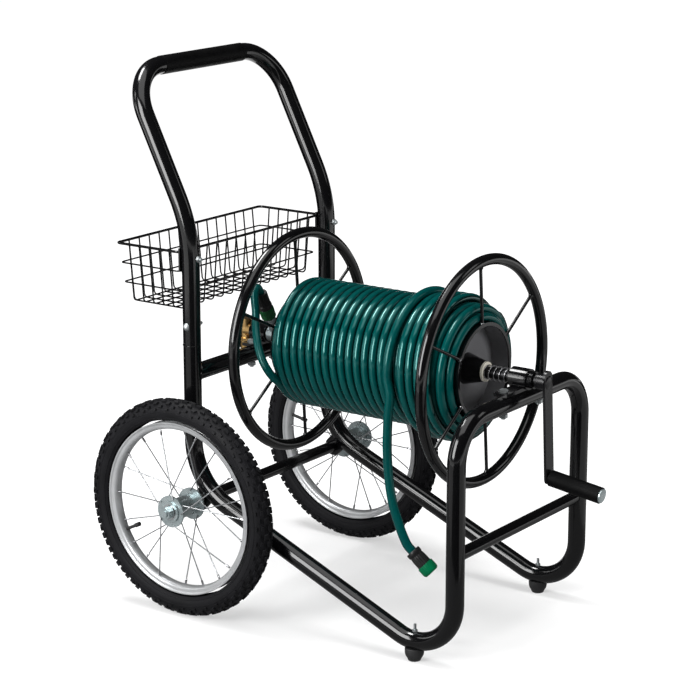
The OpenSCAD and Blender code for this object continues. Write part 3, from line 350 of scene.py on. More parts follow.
def set_sockets(node, sockets):
    """Fills a node's sockets, each with a number, a colour or another node's output."""
    for key, value in sockets.items():
        if isinstance(value, bpy.types.NodeSocket):
            node.id_data.links.new(value, node.inputs[key])
        else:
            node.inputs[key].default_value = value


def add_node(tree, kind, sockets=None, **settings):
    """A shader node of that kind, with its settings made before its sockets are filled."""
    node = tree.nodes.new(f"ShaderNode{kind}")
    for name, value in settings.items():
        setattr(node, name, value)
    set_sockets(node, sockets or {})
    return node


def new_group(name, values, results):
    """A node group with a vector input, number inputs set to the values, and number outputs."""
    group = bpy.data.node_groups.new(name, "ShaderNodeTree")
    group.interface.new_socket(name="Vector", in_out="INPUT", socket_type="NodeSocketVector")
    for label, value in values.items():
        socket = group.interface.new_socket(
            name=label, in_out="INPUT", socket_type="NodeSocketFloat")
        socket.default_value = value
    for label in results:
        group.interface.new_socket(name=label, in_out="OUTPUT", socket_type="NodeSocketFloat")
    return group, group.nodes.new("NodeGroupInput"), group.nodes.new("NodeGroupOutput")


def surface_variation():
    """Fine grain, slow clouding and sparse scratches, all from 0 to 1."""
    if "Surface variation" in bpy.data.node_groups:
        return bpy.data.node_groups["Surface variation"]
    group, given, out = new_group(
        "Surface variation", {"Grain scale": 900.0, "Cloud scale": 14.0, "Scratch scale": 60.0},
        ["Grain", "Cloud", "Scratch"])
    place = given.outputs["Vector"]
    grain = add_node(group, "TexNoise", {
        "Vector": place, "Scale": given.outputs["Grain scale"], "Detail": 2.0, "Roughness": 0.6})
    cloud = add_node(group, "TexNoise", {
        "Vector": place, "Scale": given.outputs["Cloud scale"], "Detail": 4.0,
        "Roughness": 0.55})
    spread = add_node(group, "MapRange", {
        "Value": cloud.outputs["Fac"], "From Min": 0.34, "From Max": 0.66})
    stretch = add_node(group, "Mapping", {
        "Vector": place, "Scale": (1.0, 9.0, 1.6), "Rotation": (0.4, 0.2, 0.7)})
    lines = add_node(group, "TexNoise", {
        "Vector": stretch.outputs["Vector"], "Scale": given.outputs["Scratch scale"],
        "Detail": 3.0})
    thin = add_node(group, "MapRange", {
        "Value": lines.outputs["Fac"], "From Min": 0.66, "From Max": 0.72})
    set_sockets(out, {"Grain": grain.outputs["Fac"], "Cloud": spread.outputs["Result"],
                      "Scratch": thin.outputs["Result"]})
    return group


def zinc_spangle():
    """The blotchy crystal pattern of bright zinc plating, from 0 to 1."""
    if "Zinc spangle" in bpy.data.node_groups:
        return bpy.data.node_groups["Zinc spangle"]
    group, given, out = new_group("Zinc spangle", {"Scale": 160.0}, ["Spangle"])
    cells = add_node(group, "TexVoronoi", {
        "Vector": given.outputs["Vector"], "Scale": given.outputs["Scale"]},
        feature="SMOOTH_F1")
    set_sockets(out, {"Spangle": cells.outputs["Distance"]})
    return group


def finish(name, light, dark, rough, metallic=0.0, coat=0.0, coat_rough=0.05, specular=0.5,
           grain=(900.0, 0.1), cloud=14.0, scratch=0.0, sheen=0.0, pattern=None, painted_groove_shade=None,
           tint=(1.0, 1.0, 1.0)):
    """A material whose colour drifts between light and dark and whose roughness drifts between
    the two values of rough with the clouding, with a fine grain in its relief."""
    material = bpy.data.materials.new(name)
    material.use_nodes = True
    tree = material.node_tree
    place = add_node(tree, "TexCoord")
    vary = add_node(tree, "Group", {
        "Vector": place.outputs["Object"], "Grain scale": grain[0], "Cloud scale": cloud},
        node_tree=surface_variation())
    mask = vary.outputs["Cloud"]
    if pattern is not None:
        mask = pattern(tree, place, mask)
    colour = add_node(tree, "Mix", {
        "A": (*light, 1.0), "B": (*dark, 1.0), "Factor": mask}, data_type="RGBA")
    # Painted shade: on wound hose the colour goes towards the painted groove shade on the flanks
    # of each turn, where neighbouring turns shade it.
    if painted_groove_shade is not None:
        colour = add_node(tree, "Mix", {
            "A": colour.outputs["Result"], "B": (*painted_groove_shade, 1.0),
            "Factor": painted_groove_shade_mask(tree, place)}, data_type="RGBA")
    shine = add_node(tree, "MapRange", {
        "Value": vary.outputs["Cloud"], "To Min": rough[0], "To Max": rough[1]})
    roughness = shine.outputs["Result"]
    if scratch:
        worn = add_node(tree, "Math", {
            0: vary.outputs["Scratch"], 1: scratch, 2: roughness}, operation="MULTIPLY_ADD")
        roughness = worn.outputs["Value"]
    relief = add_node(tree, "Bump", {
        "Height": vary.outputs["Grain"], "Strength": grain[1], "Distance": GRAIN_DEPTH})
    set_sockets(tree.nodes["Principled BSDF"], {
        "Base Color": colour.outputs["Result"], "Roughness": roughness,
        "Normal": relief.outputs["Normal"], "Metallic": metallic, "Coat Weight": coat,
        "Coat Roughness": coat_rough, "Specular IOR Level": specular,
        "Specular Tint": (*tint, 1.0), "Sheen Weight": sheen})
    return material


def glowing(material, strength):
    """Gives a material a white glow whose strength is a number or a node's output."""
    set_sockets(material.node_tree.nodes["Principled BSDF"], {
        "Emission Color": WHITE, "Emission Strength": strength})
    return material


def hose_yarn(tree, place, cloud):
    """Faint crossing yarn lines under the hose's skin: two sets of slanted bands along the
    pattern coordinates, over the clouding."""
    bands = []
    for slant in (45, -45):
        turn = add_node(tree, "Mapping", {
            "Vector": place.outputs["UV"], "Rotation": (0.0, 0.0, math.radians(slant))})
        wave = add_node(tree, "TexWave", {"Vector": turn.outputs["Vector"], "Scale": 2.2})
        bands.append(wave.outputs["Fac"])
    both = add_node(tree, "Math", {0: bands[0], 1: bands[1]}, operation="MULTIPLY")
    mixed = add_node(tree, "Mix", {"Factor": 0.35, "A": cloud, "B": both.outputs["Value"]})
    return mixed.outputs["Result"]


def painted_groove_shade_mask(tree, place):
    """Painted shade in the grooves between wound turns: 0 on the outer side of the hose's section,
    which lies at half way round the pattern's U, rising to 1 at its flanks."""
    parts = add_node(tree, "SeparateXYZ", {"Vector": place.outputs["UV"]})
    off = add_node(tree, "Math", {0: parts.outputs["X"], 1: 0.5}, operation="SUBTRACT")
    apart = add_node(tree, "Math", {0: off.outputs["Value"]}, operation="ABSOLUTE")
    edge = add_node(tree, "MapRange", {
        "Value": apart.outputs["Value"], "From Min": 0.10, "From Max": 0.22},
        interpolation_type="SMOOTHSTEP")
    return edge.outputs["Result"]


def spangled(tree, place, cloud):
    """Zinc's crystals mixed with the clouding."""
    crystals = add_node(tree, "Group", {"Vector": place.outputs["Object"]},
                        node_tree=zinc_spangle())
    mixed = add_node(tree, "Mix", {
        "Factor": 0.5, "A": cloud, "B": crystals.outputs["Spangle"]})
    return mixed.outputs["Result"]


# Sizes and colours that a user would change

def colour_property(name, description, value):
    """A colour field."""
    return bpy.props.FloatVectorProperty(
        name=name, description=description, subtype="COLOR", size=3, min=0.0, max=1.0,
        default=value)


def length_property(name, description, value):
    """A length field."""
    return bpy.props.FloatProperty(
        name=name, description=description, unit="LENGTH", min=0.0, default=value)


class CartColours(bpy.types.PropertyGroup):
    """Colours of the cart's finishes."""

    paint: colour_property("Frame paint", "Gloss paint of the tubes", (0.0022, 0.0022, 0.0025))
    hose: colour_property("Hose", "Skin of the hose", (0.0, 0.056, 0.053))
    collar: colour_property("Collar", "Collar of the loose coupling", (0.0, 0.125, 0.048))
    leader_collar: colour_property("Leader collar", "Collar at the outlet", (0.002, 0.085, 0.02))
    tyre: colour_property("Tyre", "Tyre rubber", (0.0050, 0.0050, 0.0060))
    rim: colour_property("Rim", "Bright metal of the wheel rims", (0.53, 0.54, 0.55))
    brass: colour_property("Brass", "Inlet fitting", (0.62, 0.40, 0.16))


class CartSizes(bpy.types.PropertyGroup):
    """Sizes of the details added to the frame."""

    knob_height: length_property("Knob height", "Height of the tread knobs", 0.0042)
    knob_gap: length_property("Knob gap", "Groove between two tread knobs", 0.0048)
    rib_depth: length_property("Rib depth", "Depth of the grooves on the hose couplings", 0.0009)
    spring_wire: length_property("Spring wire", "Thickness of the spring's wire", 0.0022)
    knobs: bpy.props.IntProperty(
        name="Knobs", description="Tread knobs in one row round a tyre", min=24, default=84)


def stock(key):
    """The finish with that key, made the first time it is asked for."""
    name = f"Cart {key.replace('_', ' ')}"
    if name in bpy.data.materials:
        return bpy.data.materials[name]
    c = bpy.context.scene.cart_colours

    def shade(colour, by):
        return tuple(by * x for x in colour)

    paint, hose, tyre, rim = tuple(c.paint), tuple(c.hose), tuple(c.tyre), tuple(c.rim)
    recipes = {
        "gloss_black": dict(
            light=paint, dark=shade(paint, 1.5), rough=(0.1, 0.15), coat=0.15, coat_rough=0.04,
            specular=0.41, grain=(420.0, 0.04), cloud=9.0, scratch=0.04),
        "satin_black": dict(
            light=shade(paint, 1.8), dark=shade(paint, 2.8), rough=(0.2, 0.28), specular=0.32,
            grain=(700.0, 0.08), cloud=20.0, scratch=0.06),
        "drum_grey": dict(
            light=(0.135, 0.135, 0.142), dark=(0.155, 0.155, 0.162), rough=(0.5, 0.6),
            specular=0.25, grain=(900.0, 0.1), cloud=12.0),
        "grip_black": dict(
            light=(0.0018, 0.0018, 0.0020), dark=(0.0030, 0.0030, 0.0032), rough=(0.5, 0.62),
            specular=0.09, grain=(1500.0, 0.35), cloud=30.0),
        "sleeve_black": dict(
            light=(0.0014, 0.0014, 0.0015), dark=(0.0024, 0.0024, 0.0026), rough=(0.45, 0.55),
            specular=0.09, grain=(1300.0, 0.3), cloud=25.0),
        "hose_teal": dict(
            light=hose, dark=shade(hose, 0.72), rough=(0.14, 0.2), specular=0.38,
            grain=(600.0, 0.04), cloud=6.0, pattern=hose_yarn, tint=(0.5, 1.0, 0.94)),
        "wound_teal": dict(
            light=hose, dark=shade(hose, 0.8), rough=(0.09, 0.14), specular=0.66,
            # The groove colour is painted shade between neighbouring wound turns.
            grain=(600.0, 0.03), cloud=6.0, pattern=hose_yarn, painted_groove_shade=shade(hose, 0.06),
            tint=(0.45, 1.0, 0.94)),
        "coupling_black": dict(
            light=(0.007, 0.007, 0.0075), dark=(0.012, 0.012, 0.012), rough=(0.35, 0.45),
            specular=0.45, grain=(1200.0, 0.15), cloud=40.0),
        "collar_green": dict(
            light=tuple(c.collar), dark=shade(tuple(c.collar), 0.8), rough=(0.36, 0.46),
            specular=0.3, grain=(1300.0, 0.15), cloud=40.0, tint=(0.3, 1.0, 0.7)),
        "leader_green": dict(
            light=tuple(c.leader_collar), dark=shade(tuple(c.leader_collar), 0.75),
            rough=(0.3, 0.4), specular=0.45, grain=(1300.0, 0.15), cloud=40.0),
        "zinc": dict(
            light=(0.52, 0.58, 0.59), dark=(0.28, 0.34, 0.35), rough=(0.22, 0.36), metallic=0.8,
            grain=(900.0, 0.1), cloud=60.0, scratch=0.1, pattern=spangled),
        "bolt_zinc": dict(
            light=(0.66, 0.69, 0.70), dark=(0.48, 0.52, 0.53), rough=(0.36, 0.5), metallic=1.0,
            grain=(1200.0, 0.1), cloud=80.0, scratch=0.08),
        "steel": dict(
            light=(0.56, 0.56, 0.57), dark=(0.42, 0.42, 0.44), rough=(0.2, 0.3), metallic=1.0,
            grain=(1600.0, 0.08), cloud=60.0),
        "oiled_steel": dict(
            light=(0.055, 0.055, 0.057), dark=(0.035, 0.035, 0.037), rough=(0.3, 0.42),
            metallic=1.0, grain=(1600.0, 0.08), cloud=60.0),
        "spoke_wire": dict(
            light=(0.40, 0.41, 0.42), dark=(0.26, 0.27, 0.28), rough=(0.25, 0.35),
            metallic=0.7, grain=(1600.0, 0.08), cloud=60.0),
        "rim_silver": dict(
            light=rim, dark=shade(rim, 0.8), rough=(0.3, 0.4), metallic=0.6,
            grain=(800.0, 0.08), cloud=18.0, scratch=0.06),
        "brass": dict(
            light=tuple(c.brass), dark=shade(tuple(c.brass), 0.72), rough=(0.2, 0.34),
            metallic=1.0, grain=(900.0, 0.12), cloud=50.0, scratch=0.08),
        "bronze": dict(
            light=(0.42, 0.25, 0.11), dark=(0.30, 0.17, 0.08), rough=(0.4, 0.55), metallic=1.0,
            grain=(900.0, 0.15), cloud=50.0),
        "washer_cream": dict(
            light=(0.82, 0.79, 0.68), dark=(0.74, 0.70, 0.59), rough=(0.4, 0.5), specular=0.4,
            grain=(900.0, 0.1), cloud=60.0),
        "foot_rubber": dict(
            light=(0.015, 0.015, 0.016), dark=(0.022, 0.022, 0.023), rough=(0.45, 0.6),
            specular=0.4, grain=(1100.0, 0.3), cloud=35.0),
        "tyre_rubber": dict(
            light=tyre, dark=shade(tyre, 1.5), rough=(0.5, 0.66), specular=0.13,
            grain=(1400.0, 0.35), cloud=22.0, sheen=0.02),
    }
    return finish(name, **recipes[key])


def dress(node, key):
    """Gives a CAD node one of the finishes."""
    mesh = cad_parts[node].data
    mesh.materials.clear()
    mesh.materials.append(stock(key))


# Lines of the hose

def winding_line():
    """Helix round the reel's axis: the angle grows by a full circle and Y falls by one pitch in
    a turn, Y also leans with the sine of the angle, and the radius steps up over half a turn."""
    turn = np.linspace(0, TURNS, int(TURNS * TURN_STEPS) + 1)
    climb = np.clip((turn - LOW_TURNS) * 2, 0, 1)
    radius = LOW_R + (HIGH_R - LOW_R) * climb
    a = START_ANGLE + 2 * math.pi * turn
    return np.stack([radius * np.cos(a), WINDING_REAR - PITCH * turn + LEAN * np.sin(a),
                     REEL_Z + radius * np.sin(a)], -1)


def leader_line():
    """Out of the coupling, over the top of a short arch, and down to the first turn."""
    start = OUTLET_AT + OUTLET_WAY * LEADER_START
    route = [(x * MM, OUTLET_Y - y * MM, REEL_Z + z * MM) for x, y, z in LEADER_ROUTE]
    first = winding_line()[0]
    back = np.array([math.sin(START_ANGLE), 0.0, -math.cos(START_ANGLE)])
    straight = [first + back * (HOSE_D + 8 * MM), first + back * HOSE_D, first]
    return smooth_line([start, start + OUTLET_WAY * 5 * MM, *route, *straight], LEADER_STEPS)


def tail_line():
    """An arc over the drum, then down its side and out to the loose coupling, and the direction
    in which it ends."""
    a = np.radians(np.arange(-60, 180.1, 5.0))
    arc = np.stack([TAIL_R * np.cos(a), np.full(len(a), TAIL_Y), REEL_Z + TAIL_R * np.sin(a)], -1)
    hang = np.array([(x * MM, HANG_FROM_Y + y * MM, REEL_Z + z * MM) for x, y, z in TAIL_HANG])
    return smooth_line(np.concatenate([arc, hang]), TAIL_STEPS), unit(hang[-1] - hang[-2])


def blunt(line, radius, run, at_end=False):
    """Radii along a line that shrink on a quarter circle over the run next to its start or its
    end: radius * sqrt(1 - (1 - d / run)^2), where d is the distance from there and what stands
    under the root is never less than END_LEAST."""
    s = along(line)
    near = (s[-1] - s if at_end else s) / run
    return radius * np.sqrt(np.clip(1 - (1 - np.clip(near, 0, 1)) ** 2, END_LEAST, 1))


def ribbed(count, depth, s_from=-1.0, s_to=1.0, r_from=0.0):
    """Radius rule for grip ribs: grooves between count flats, cut to depth, where the distance
    along the axis and the radius lie within the limits."""
    def radius_of(s, r, a):
        cut = r - depth * np.power(0.5 - 0.5 * np.cos(count * a), RIB_POWER)
        return np.where((s > s_from) & (s < s_to) & (r > r_from), cut, r)
    return radius_of


class CART_OT_loose_hose(bpy.types.Operator):
    """The loose end of the hose with its coupling and collar"""

    bl_idname = "cart.loose_hose"
    bl_label = "Loose hose"

    def execute(self, context):
        line, out = tail_line()
        depth = context.scene.cart_sizes.rib_depth
        hose = Shell().add(
            tube_points(line, blunt(line, HOSE_R, LOOSE_END_RUN), HOSE_SIDES), scale=HOSE_SCALE)
        hose = hose.piece("loose_hose", "frame", "hose_teal", ["hose_tail"])
        start = line[-1] + out * FIT_GAP
        sleeve = [(0, 0.0086), (0, 0.0128), (0.0012, 0.0135), (0.0078, 0.0135), (0.009, 0.0128),
                  (0.0096, 0.0121), (0.0108, 0.0121), (0.0118, 0.0126), (0.018, 0.0132),
                  (0.031, 0.0134)]
        coupling = Shell().add(turned_points(
            sleeve, SLEEVE_STEPS, start, out, ribbed(SLEEVE_RIBS, depth, s_from=0.011)))
        coupling.piece("loose_coupling", "frame", "coupling_black", ["tail_coupling"])
        at = start + out * (sleeve[-1][0] + FIT_GAP)
        cup = [(0, 0.011), (0, 0.0147), (0.0012, 0.0155), (0.0128, 0.0155), (0.0150, 0.0152),
               (0.0170, 0.0144), (0.0184, 0.0132), (0.019, 0.0118), (0.019, 0.0112),
               (0.004, 0.0112), (0.0038, 0.008)]
        collar = Shell().add(turned_points(
            cup, COLLAR_STEPS, at, out, ribbed(20, depth, r_from=0.0153)))
        collar.piece("loose_collar", "frame", "collar_green", ["tail_collar"])
        return {"FINISHED"}


class CART_OT_wound_hose(bpy.types.Operator):
    """The hose on the drum: the shown turns, the layers below and the leader"""

    bl_idname = "cart.wound_hose"
    bl_label = "Wound hose"

    def execute(self, context):
        line = winding_line()
        turns = Shell().add(
            tube_points(line, blunt(line, WOUND_R, WOUND_END_RUN, at_end=True), HOSE_SIDES),
            scale=HOSE_SCALE)
        turns.piece("hose_turns", "reel", "wound_teal", ["hose_winding"], slot="hose_teal")
        low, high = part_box("hose_core")
        first, last = low[1] + LAYER_INSET, high[1] - LAYER_INSET
        count = int(round((last - first) / PITCH)) + 1
        places = [(FIRST_R, y, HIDDEN_R) for y in np.linspace(first, last, count)]
        places.append((LOW_R, first + PITCH / 2, HIDDEN_R))
        places += [(LOW_R, first + PITCH / 2 + PITCH * n, HIDDEN_R - 0.3 * MM)
                   for n in (1, 2, 3)]
        rings = Shell()
        for radius, y, thick in places:
            loop = round_profile(y, radius, thick, LAYER_SIDES)
            rings.add(turned_points(loop, LAYER_STEPS, (0, 0, REEL_Z), (0, 1, 0)),
                      ring_rows=True)
        rings.piece("hose_layers", "reel", "hose_teal", ["hose_core"])
        leader = Shell().add(tube_points(leader_line(), HIDDEN_R, HOSE_SIDES), scale=HOSE_SCALE)
        leader.piece("leader", "reel", "hose_teal", ["leader_hose"])
        return {"FINISHED"}


class CART_OT_leader_fittings(bpy.types.Operator):
    """The collar and coupling that join the leader to the outlet"""

    bl_idname = "cart.leader_fittings"
    bl_label = "Leader fittings"

    def execute(self, context):
        depth = context.scene.cart_sizes.rib_depth
        collar = [(0.0411, 0.0082), (0.0411, 0.0128), (0.0424, 0.0138), (0.0500, 0.0138),
                  (0.0508, 0.0132), (0.0520, 0.0132), (0.0528, 0.0140), (0.0605, 0.0140),
                  (0.0619, 0.0130), (0.0619, 0.0080)]
        shape = Shell().add(turned_points(
            collar, COLLAR_STEPS, OUTLET_AT, OUTLET_WAY, ribbed(18, depth, r_from=0.0136)))
        shape.piece("outlet_collar", "reel", "leader_green", ["leader_collar"],
                    slot="collar_green")
        sleeve = [(0.0621, 0.0080), (0.0621, 0.0124), (0.0630, 0.0130), (0.0700, 0.0130),
                  (0.0710, 0.0121), (0.0720, 0.0119), (0.0955, 0.0120), (0.0970, 0.0112),
                  (0.0970, 0.0080)]
        shape = Shell().add(turned_points(
            sleeve, SLEEVE_STEPS, OUTLET_AT, OUTLET_WAY,
            ribbed(SLEEVE_RIBS, depth, s_from=0.0715, s_to=0.0965)))
        shape.piece("outlet_coupling", "reel", "coupling_black", ["leader_coupling"])
        return {"FINISHED"}


def knobs(shell, angle, half_angle, side, half_side, foot_r, head_r, place, skew):
    """A row of tread knobs: blocks on the tyre's section, each from a wide foot to a narrower
    head. A corner lies at the section angle side ± half_side and the wheel angle ± half_angle,
    at the foot or head radius from the middle of the section."""
    centre_r, x = place
    corners = np.array([(-1, -1), (1, -1), (1, 1), (-1, 1)], float)
    rows = []
    for section_r, wide in ((foot_r, 1.0), (head_r, KNOB_TAPER)):
        phi = side + corners[:, 1] * half_side * wide
        theta = (angle[:, None] + corners[None, :, 0] * half_angle * wide
                 + skew * corners[None, :, 1] * half_side)
        r = centre_r + section_r * np.cos(phi)[None, :]
        px = x + section_r * np.sin(phi)[None, :] * np.ones_like(theta)
        rows.append(np.stack([px, AXLE[0] + r * np.cos(theta), AXLE[1] + r * np.sin(theta)], -1))
    points = np.concatenate(rows, axis=1)
    base = (np.arange(len(angle)) * 8)[:, None, None]
    quads = np.array([[4, 5, 6, 7], [3, 2, 1, 0], [0, 1, 5, 4], [1, 2, 6, 5], [2, 3, 7, 6],
                      [3, 0, 4, 7]])[None]
    shell.add_faces(points.reshape(-1, 3), (base + quads).reshape(-1, 4))


class CART_OT_tyres(bpy.types.Operator):
    """The two knobbly tyres"""

    bl_idname = "cart.tyres"
    bl_label = "Tyres"

    def execute(self, context):
        sizes = context.scene.cart_sizes
        head = TYRE_SECTION_R
        centre_r = TYRE_R - head
        skin = head - sizes.knob_height
        foot = skin - KNOB_ROOT
        step = 2 * math.pi / sizes.knobs
        half = step / 2 - sizes.knob_gap / 2 / TYRE_R
        angle = np.arange(0, sizes.knobs, 2) * step
        phi = np.linspace(-BEAD_ANGLE, BEAD_ANGLE, TYRE_SIDES)
        a = circle(8)

        def section(radius, angles):
            """Points (radius sin angle, centre + radius cos angle) of the tyre's section."""
            return np.stack([radius * np.sin(angles), centre_r + radius * np.cos(angles)], -1)

        loops = [np.concatenate([section(skin, phi), section(skin - TYRE_WALL, phi[::-1])])]
        for ring_phi, thick in SIDEWALL_RINGS:
            for way in (-1, 1):
                loops.append(section(skin, way * ring_phi)
                             + thick * np.stack([np.cos(a), np.sin(a)], -1))
        for side, x in WHEELS.items():
            tyre = Shell()
            for loop in loops:
                tyre.add(turned_points(loop, TYRE_STEPS, (x, *AXLE), (1, 0, 0)),
                         ring_rows=True)
            place = (centre_r, x)
            knobs(tyre, angle, half * 1.15, 0.0, 0.15, foot, head, place, 0.02)
            for way in (-1, 1):
                for shift, length, at, wide, under, skew in KNOB_ROWS:
                    knobs(tyre, angle + step * shift, half * length, way * at, wide, foot,
                          head - under, place, way * skew)
            tyre.piece(f"{side}_knobbly_tyre", f"{side}_wheel", "tyre_rubber",
                       [f"{side}_tyre"])
        return {"FINISHED"}


class CART_OT_spring(bpy.types.Operator):
    """The drag spring on the reel's shaft"""

    bl_idname = "cart.spring"
    bl_label = "Spring"

    def execute(self, context):
        low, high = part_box("drag_spring")
        wire = context.scene.cart_sizes.spring_wire
        turn = np.linspace(0, SPRING_CURLS, SPRING_CURLS * CURL_STEPS + 1)
        # Closed coils at both ends: the wire climbs only between the flat stretches
        climb = np.clip((turn / SPRING_CURLS - SPRING_FLAT) / (1 - 2 * SPRING_FLAT), 0, 1)
        y = low[1] + wire / 2 + (high[1] - low[1] - wire) * climb
        a = 2 * math.pi * turn
        r = (high[0] - low[0]) / 2 - wire / 2
        line = np.stack([r * np.cos(a), y, REEL_Z + r * np.sin(a)], -1)
        spring = Shell().add(tube_points(line, wire / 2, 12))
        spring.piece("coil_spring", "reel", "steel", ["drag_spring"])
        return {"FINISHED"}


def spoke_ends(side, number):
    """Foot and tip of a wheel spoke as in the part's source, from the wheel's middle: even
    spokes run inside their flange and lean one way, odd ones run outside it and lean back."""
    way = 1 if number % 2 == 0 else -1
    foot = (number + (0.5 if side > 0 else 0.0)) * 2 * math.pi / SPOKES
    tip = foot + way * math.radians(34)
    x0, x1 = (0.0259, 0.002) if way > 0 else (0.0322, 0.0055)
    inner, outer = 0.025, 0.1442
    return (np.array([side * x0, inner * math.cos(foot), inner * math.sin(foot)]),
            np.array([side * x1, outer * math.cos(tip), outer * math.sin(tip)]))


class CART_OT_rims(bpy.types.Operator):
    """Rolled rims and the nipples of their spokes"""

    bl_idname = "cart.rims"
    bl_label = "Rims"

    def execute(self, context):
        edge = [(13.0, 158.3), (13.0, 156.6), (12.5, 155.6), (11.6, 154.9), (11.1, 153.6),
                (10.8, 151.0), (10.2, 148.6), (8.9, 146.7), (6.9, 145.5), (4.2, 144.8)]
        wall = [(3.4, 146.4), (6.3, 147.2), (8.0, 148.3), (9.0, 150.0), (9.3, 152.4),
                (9.6, 156.4), (10.6, 158.0), (12.0, 158.5)]
        mirrored = [(-x, r) for x, r in reversed(edge)]
        inside = [(-x, r) for x, r in reversed(wall)]
        loop = np.array(edge + [(0.0, 144.5)] + mirrored + inside + [(0.0, 146.2)] + wall) * MM
        nipple = np.array([(0.0, 1.0), (0.4, 1.7), (2.2, 1.95), (7.2, 1.95), (9.4, 1.5),
                           (10.2, 1.15)]) * MM
        for side, x in WHEELS.items():
            hub = (x, *AXLE)
            rim = Shell().add(turned_points(loop, RIM_STEPS, hub, (1, 0, 0)), ring_rows=True)
            rim.piece(f"{side}_rolled_rim", f"{side}_wheel", "rim_silver", [f"{side}_rim"])
            nipples = Shell()
            for flange in (-1, 1):
                for number in range(SPOKES):
                    foot, tip = spoke_ends(flange, number)
                    nipples.add(turned_points(nipple, 10, tip + hub, foot - tip))
            nipples.piece(f"{side}_nipples", f"{side}_wheel", "steel")
        return {"FINISHED"}


class CART_OT_welds(bpy.types.Operator):
    """Weld beads of the flange rods and crossbars, lips of the posts, and the shaft's cap"""

    bl_idname = "cart.welds"
    bl_label = "Welds and cap"

    def execute(self, context):
        bead = np.array([(0.0, 4.9), (0.7, 4.7), (1.9, 4.0), (3.0, 3.3), (4.0, 2.9)]) * MM
        dark, light = Shell(), Shell()
        for y in (FRONT_RING_Y, REAR_RING_Y):
            hub = np.array([0.0, y, REEL_Z])
            for a in ROD_ANGLES:
                out = np.array([math.cos(a), 0.0, math.sin(a)])
                dark.add(turned_points(
                    bead, BEAD_STEPS, hub + out * (ROD_OUTER_END - 0.2 * MM), -out))
                light.add(turned_points(
                    bead * (0.8, 0.86), BEAD_STEPS, hub + out * (ROD_INNER_END + 0.1 * MM), out))
        dark.piece("rod_welds", "reel", "gloss_black")
        light.piece("drum_welds", "reel", "steel")
        seams = Shell()
        for node, radius in CROSSBAR_SEAMS.items():
            low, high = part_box(node)
            y, z = (low[1] + high[1]) / 2, (low[2] + high[2]) / 2
            for way in (-1, 1):
                seams.add(self.seam(y, z, radius, way), ring_rows=True)
        seams.piece("crossbar_seams", "frame", "gloss_black")
        lip = round_profile(0.0, TUBE_R, LIP_R, 12)
        joints = Shell()
        for side in (-1, 1):
            place = (side * POST_X, POST_Y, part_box("left_side_tube")[1][2])
            joints.add(turned_points(lip, POST_STEPS, place, (0, 0, 1)), ring_rows=True)
        joints.piece("post_lips", "frame", "gloss_black")
        cap = np.array([(-0.9, 0.5), (-0.75, 5.0), (-0.3, 9.0), (0.3, 11.0), (0.9, 11.8),
                        (1.0, 11.8)]) * MM
        tip = (0.0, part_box("reel_shaft")[0][1], REEL_Z)
        shape = Shell().add(turned_points(cap, 48, tip, (0, 1, 0)))
        shape.piece("shaft_cap", "reel", "satin_black", slot="gloss_black")
        return {"FINISHED"}

    def seam(self, y, z, radius, way):
        """Rippled ring where a crossbar's side meets a post's round face: round the bar by the
        angle a, X is the post's middle less sqrt(R^2 - (r sin a)^2), R being just over the
        post's radius, and the ring's own radius is SEAM_R (1 + 0.12 cos 12 a)."""
        a, b = circle(SEAM_STEPS), circle(8)
        post_r = TUBE_R + 0.3 * MM
        meet = way * (SIDE_X - np.sqrt(post_r**2 - (radius * np.sin(a)) ** 2))
        line = np.stack([meet, y + radius * np.sin(a), z + radius * np.cos(a)], -1)
        tangent = unit(np.roll(line, -1, axis=0) - np.roll(line, 1, axis=0))
        outward = unit(np.stack([np.full(SEAM_STEPS, -float(way)), np.sin(a), np.cos(a)], -1))
        across = np.cross(tangent, outward)
        thick = SEAM_R * (1 + 0.12 * np.cos(12 * a))[:, None, None]
        return line[:, None] + thick * (np.cos(b)[None, :, None] * outward[:, None]
                                        + np.sin(b)[None, :, None] * across[:, None])


class CART_OT_feet(bpy.types.Operator):
    """The rubber feet under the front bends"""

    bl_idname = "cart.feet"
    bl_label = "Feet"

    def execute(self, context):
        # Profile from the bolt's recess, round the sole, up the neck and over the saddle's lip
        sole = [(6.0, 0.2), (6.0, 5.6), (0.6, 5.6), (0.0, 6.2), (0.0, 9.8), (0.5, 10.8),
                (1.6, 11.4), (3.4, 12.0), (6.0, 13.4), (9.0, 15.2), (11.5, 16.2), (15.0, 16.7),
                (20.0, 16.9), (22.4, 16.6), (23.0, 15.8), (23.0, 0.2)]
        feet = Shell()
        for side in (-1, 1):
            place = (side * POST_X, FOOT_Y, 0.0)
            feet.add(turned_points(np.array(sole) * MM, POST_STEPS, place, (0, 0, 1)))
        feet.piece("rubber_feet", "frame", "foot_rubber", ["feet"])
        return {"FINISHED"}


FINISHES = {
    "gloss_black": [
        "left_side_tube", "right_side_tube", "front_hoop", "front_crossbar", "rear_crossbar",
        "axle_tube", "handle_tube", "handle_spigots", "bearing_blocks", "basket_rim",
        "basket_hoops", "basket_cross_wires", "basket_long_wires", "basket_brackets",
        "front_flange_ring", "rear_flange_ring", "front_flange_spokes", "rear_flange_spokes",
        "drum_tube", "front_hub", "shaft_collar"],
    "satin_black": ["crank_arm"],
    "drum_grey": ["front_drum_plate", "rear_drum_plate"],
    "grip_black": ["crank_grip"],
    "sleeve_black": ["handle_sleeve"],
    "zinc": ["axle_rod", "axle_nuts", "outlet_block", "left_hub", "right_hub", "crank_pin",
             "grip_cap"],
    "bolt_zinc": ["post_bolts", "foot_bolts", "block_bolts"],
    "steel": ["left_bearings", "right_bearings"],
    "oiled_steel": ["reel_shaft"],
    "spoke_wire": ["left_spokes", "right_spokes"],
    "brass": ["inlet_elbow"],
    "bronze": ["shaft_bushes"],
    "washer_cream": ["hub_washer"],
    "foot_rubber": ["left_valve", "right_valve"],
}


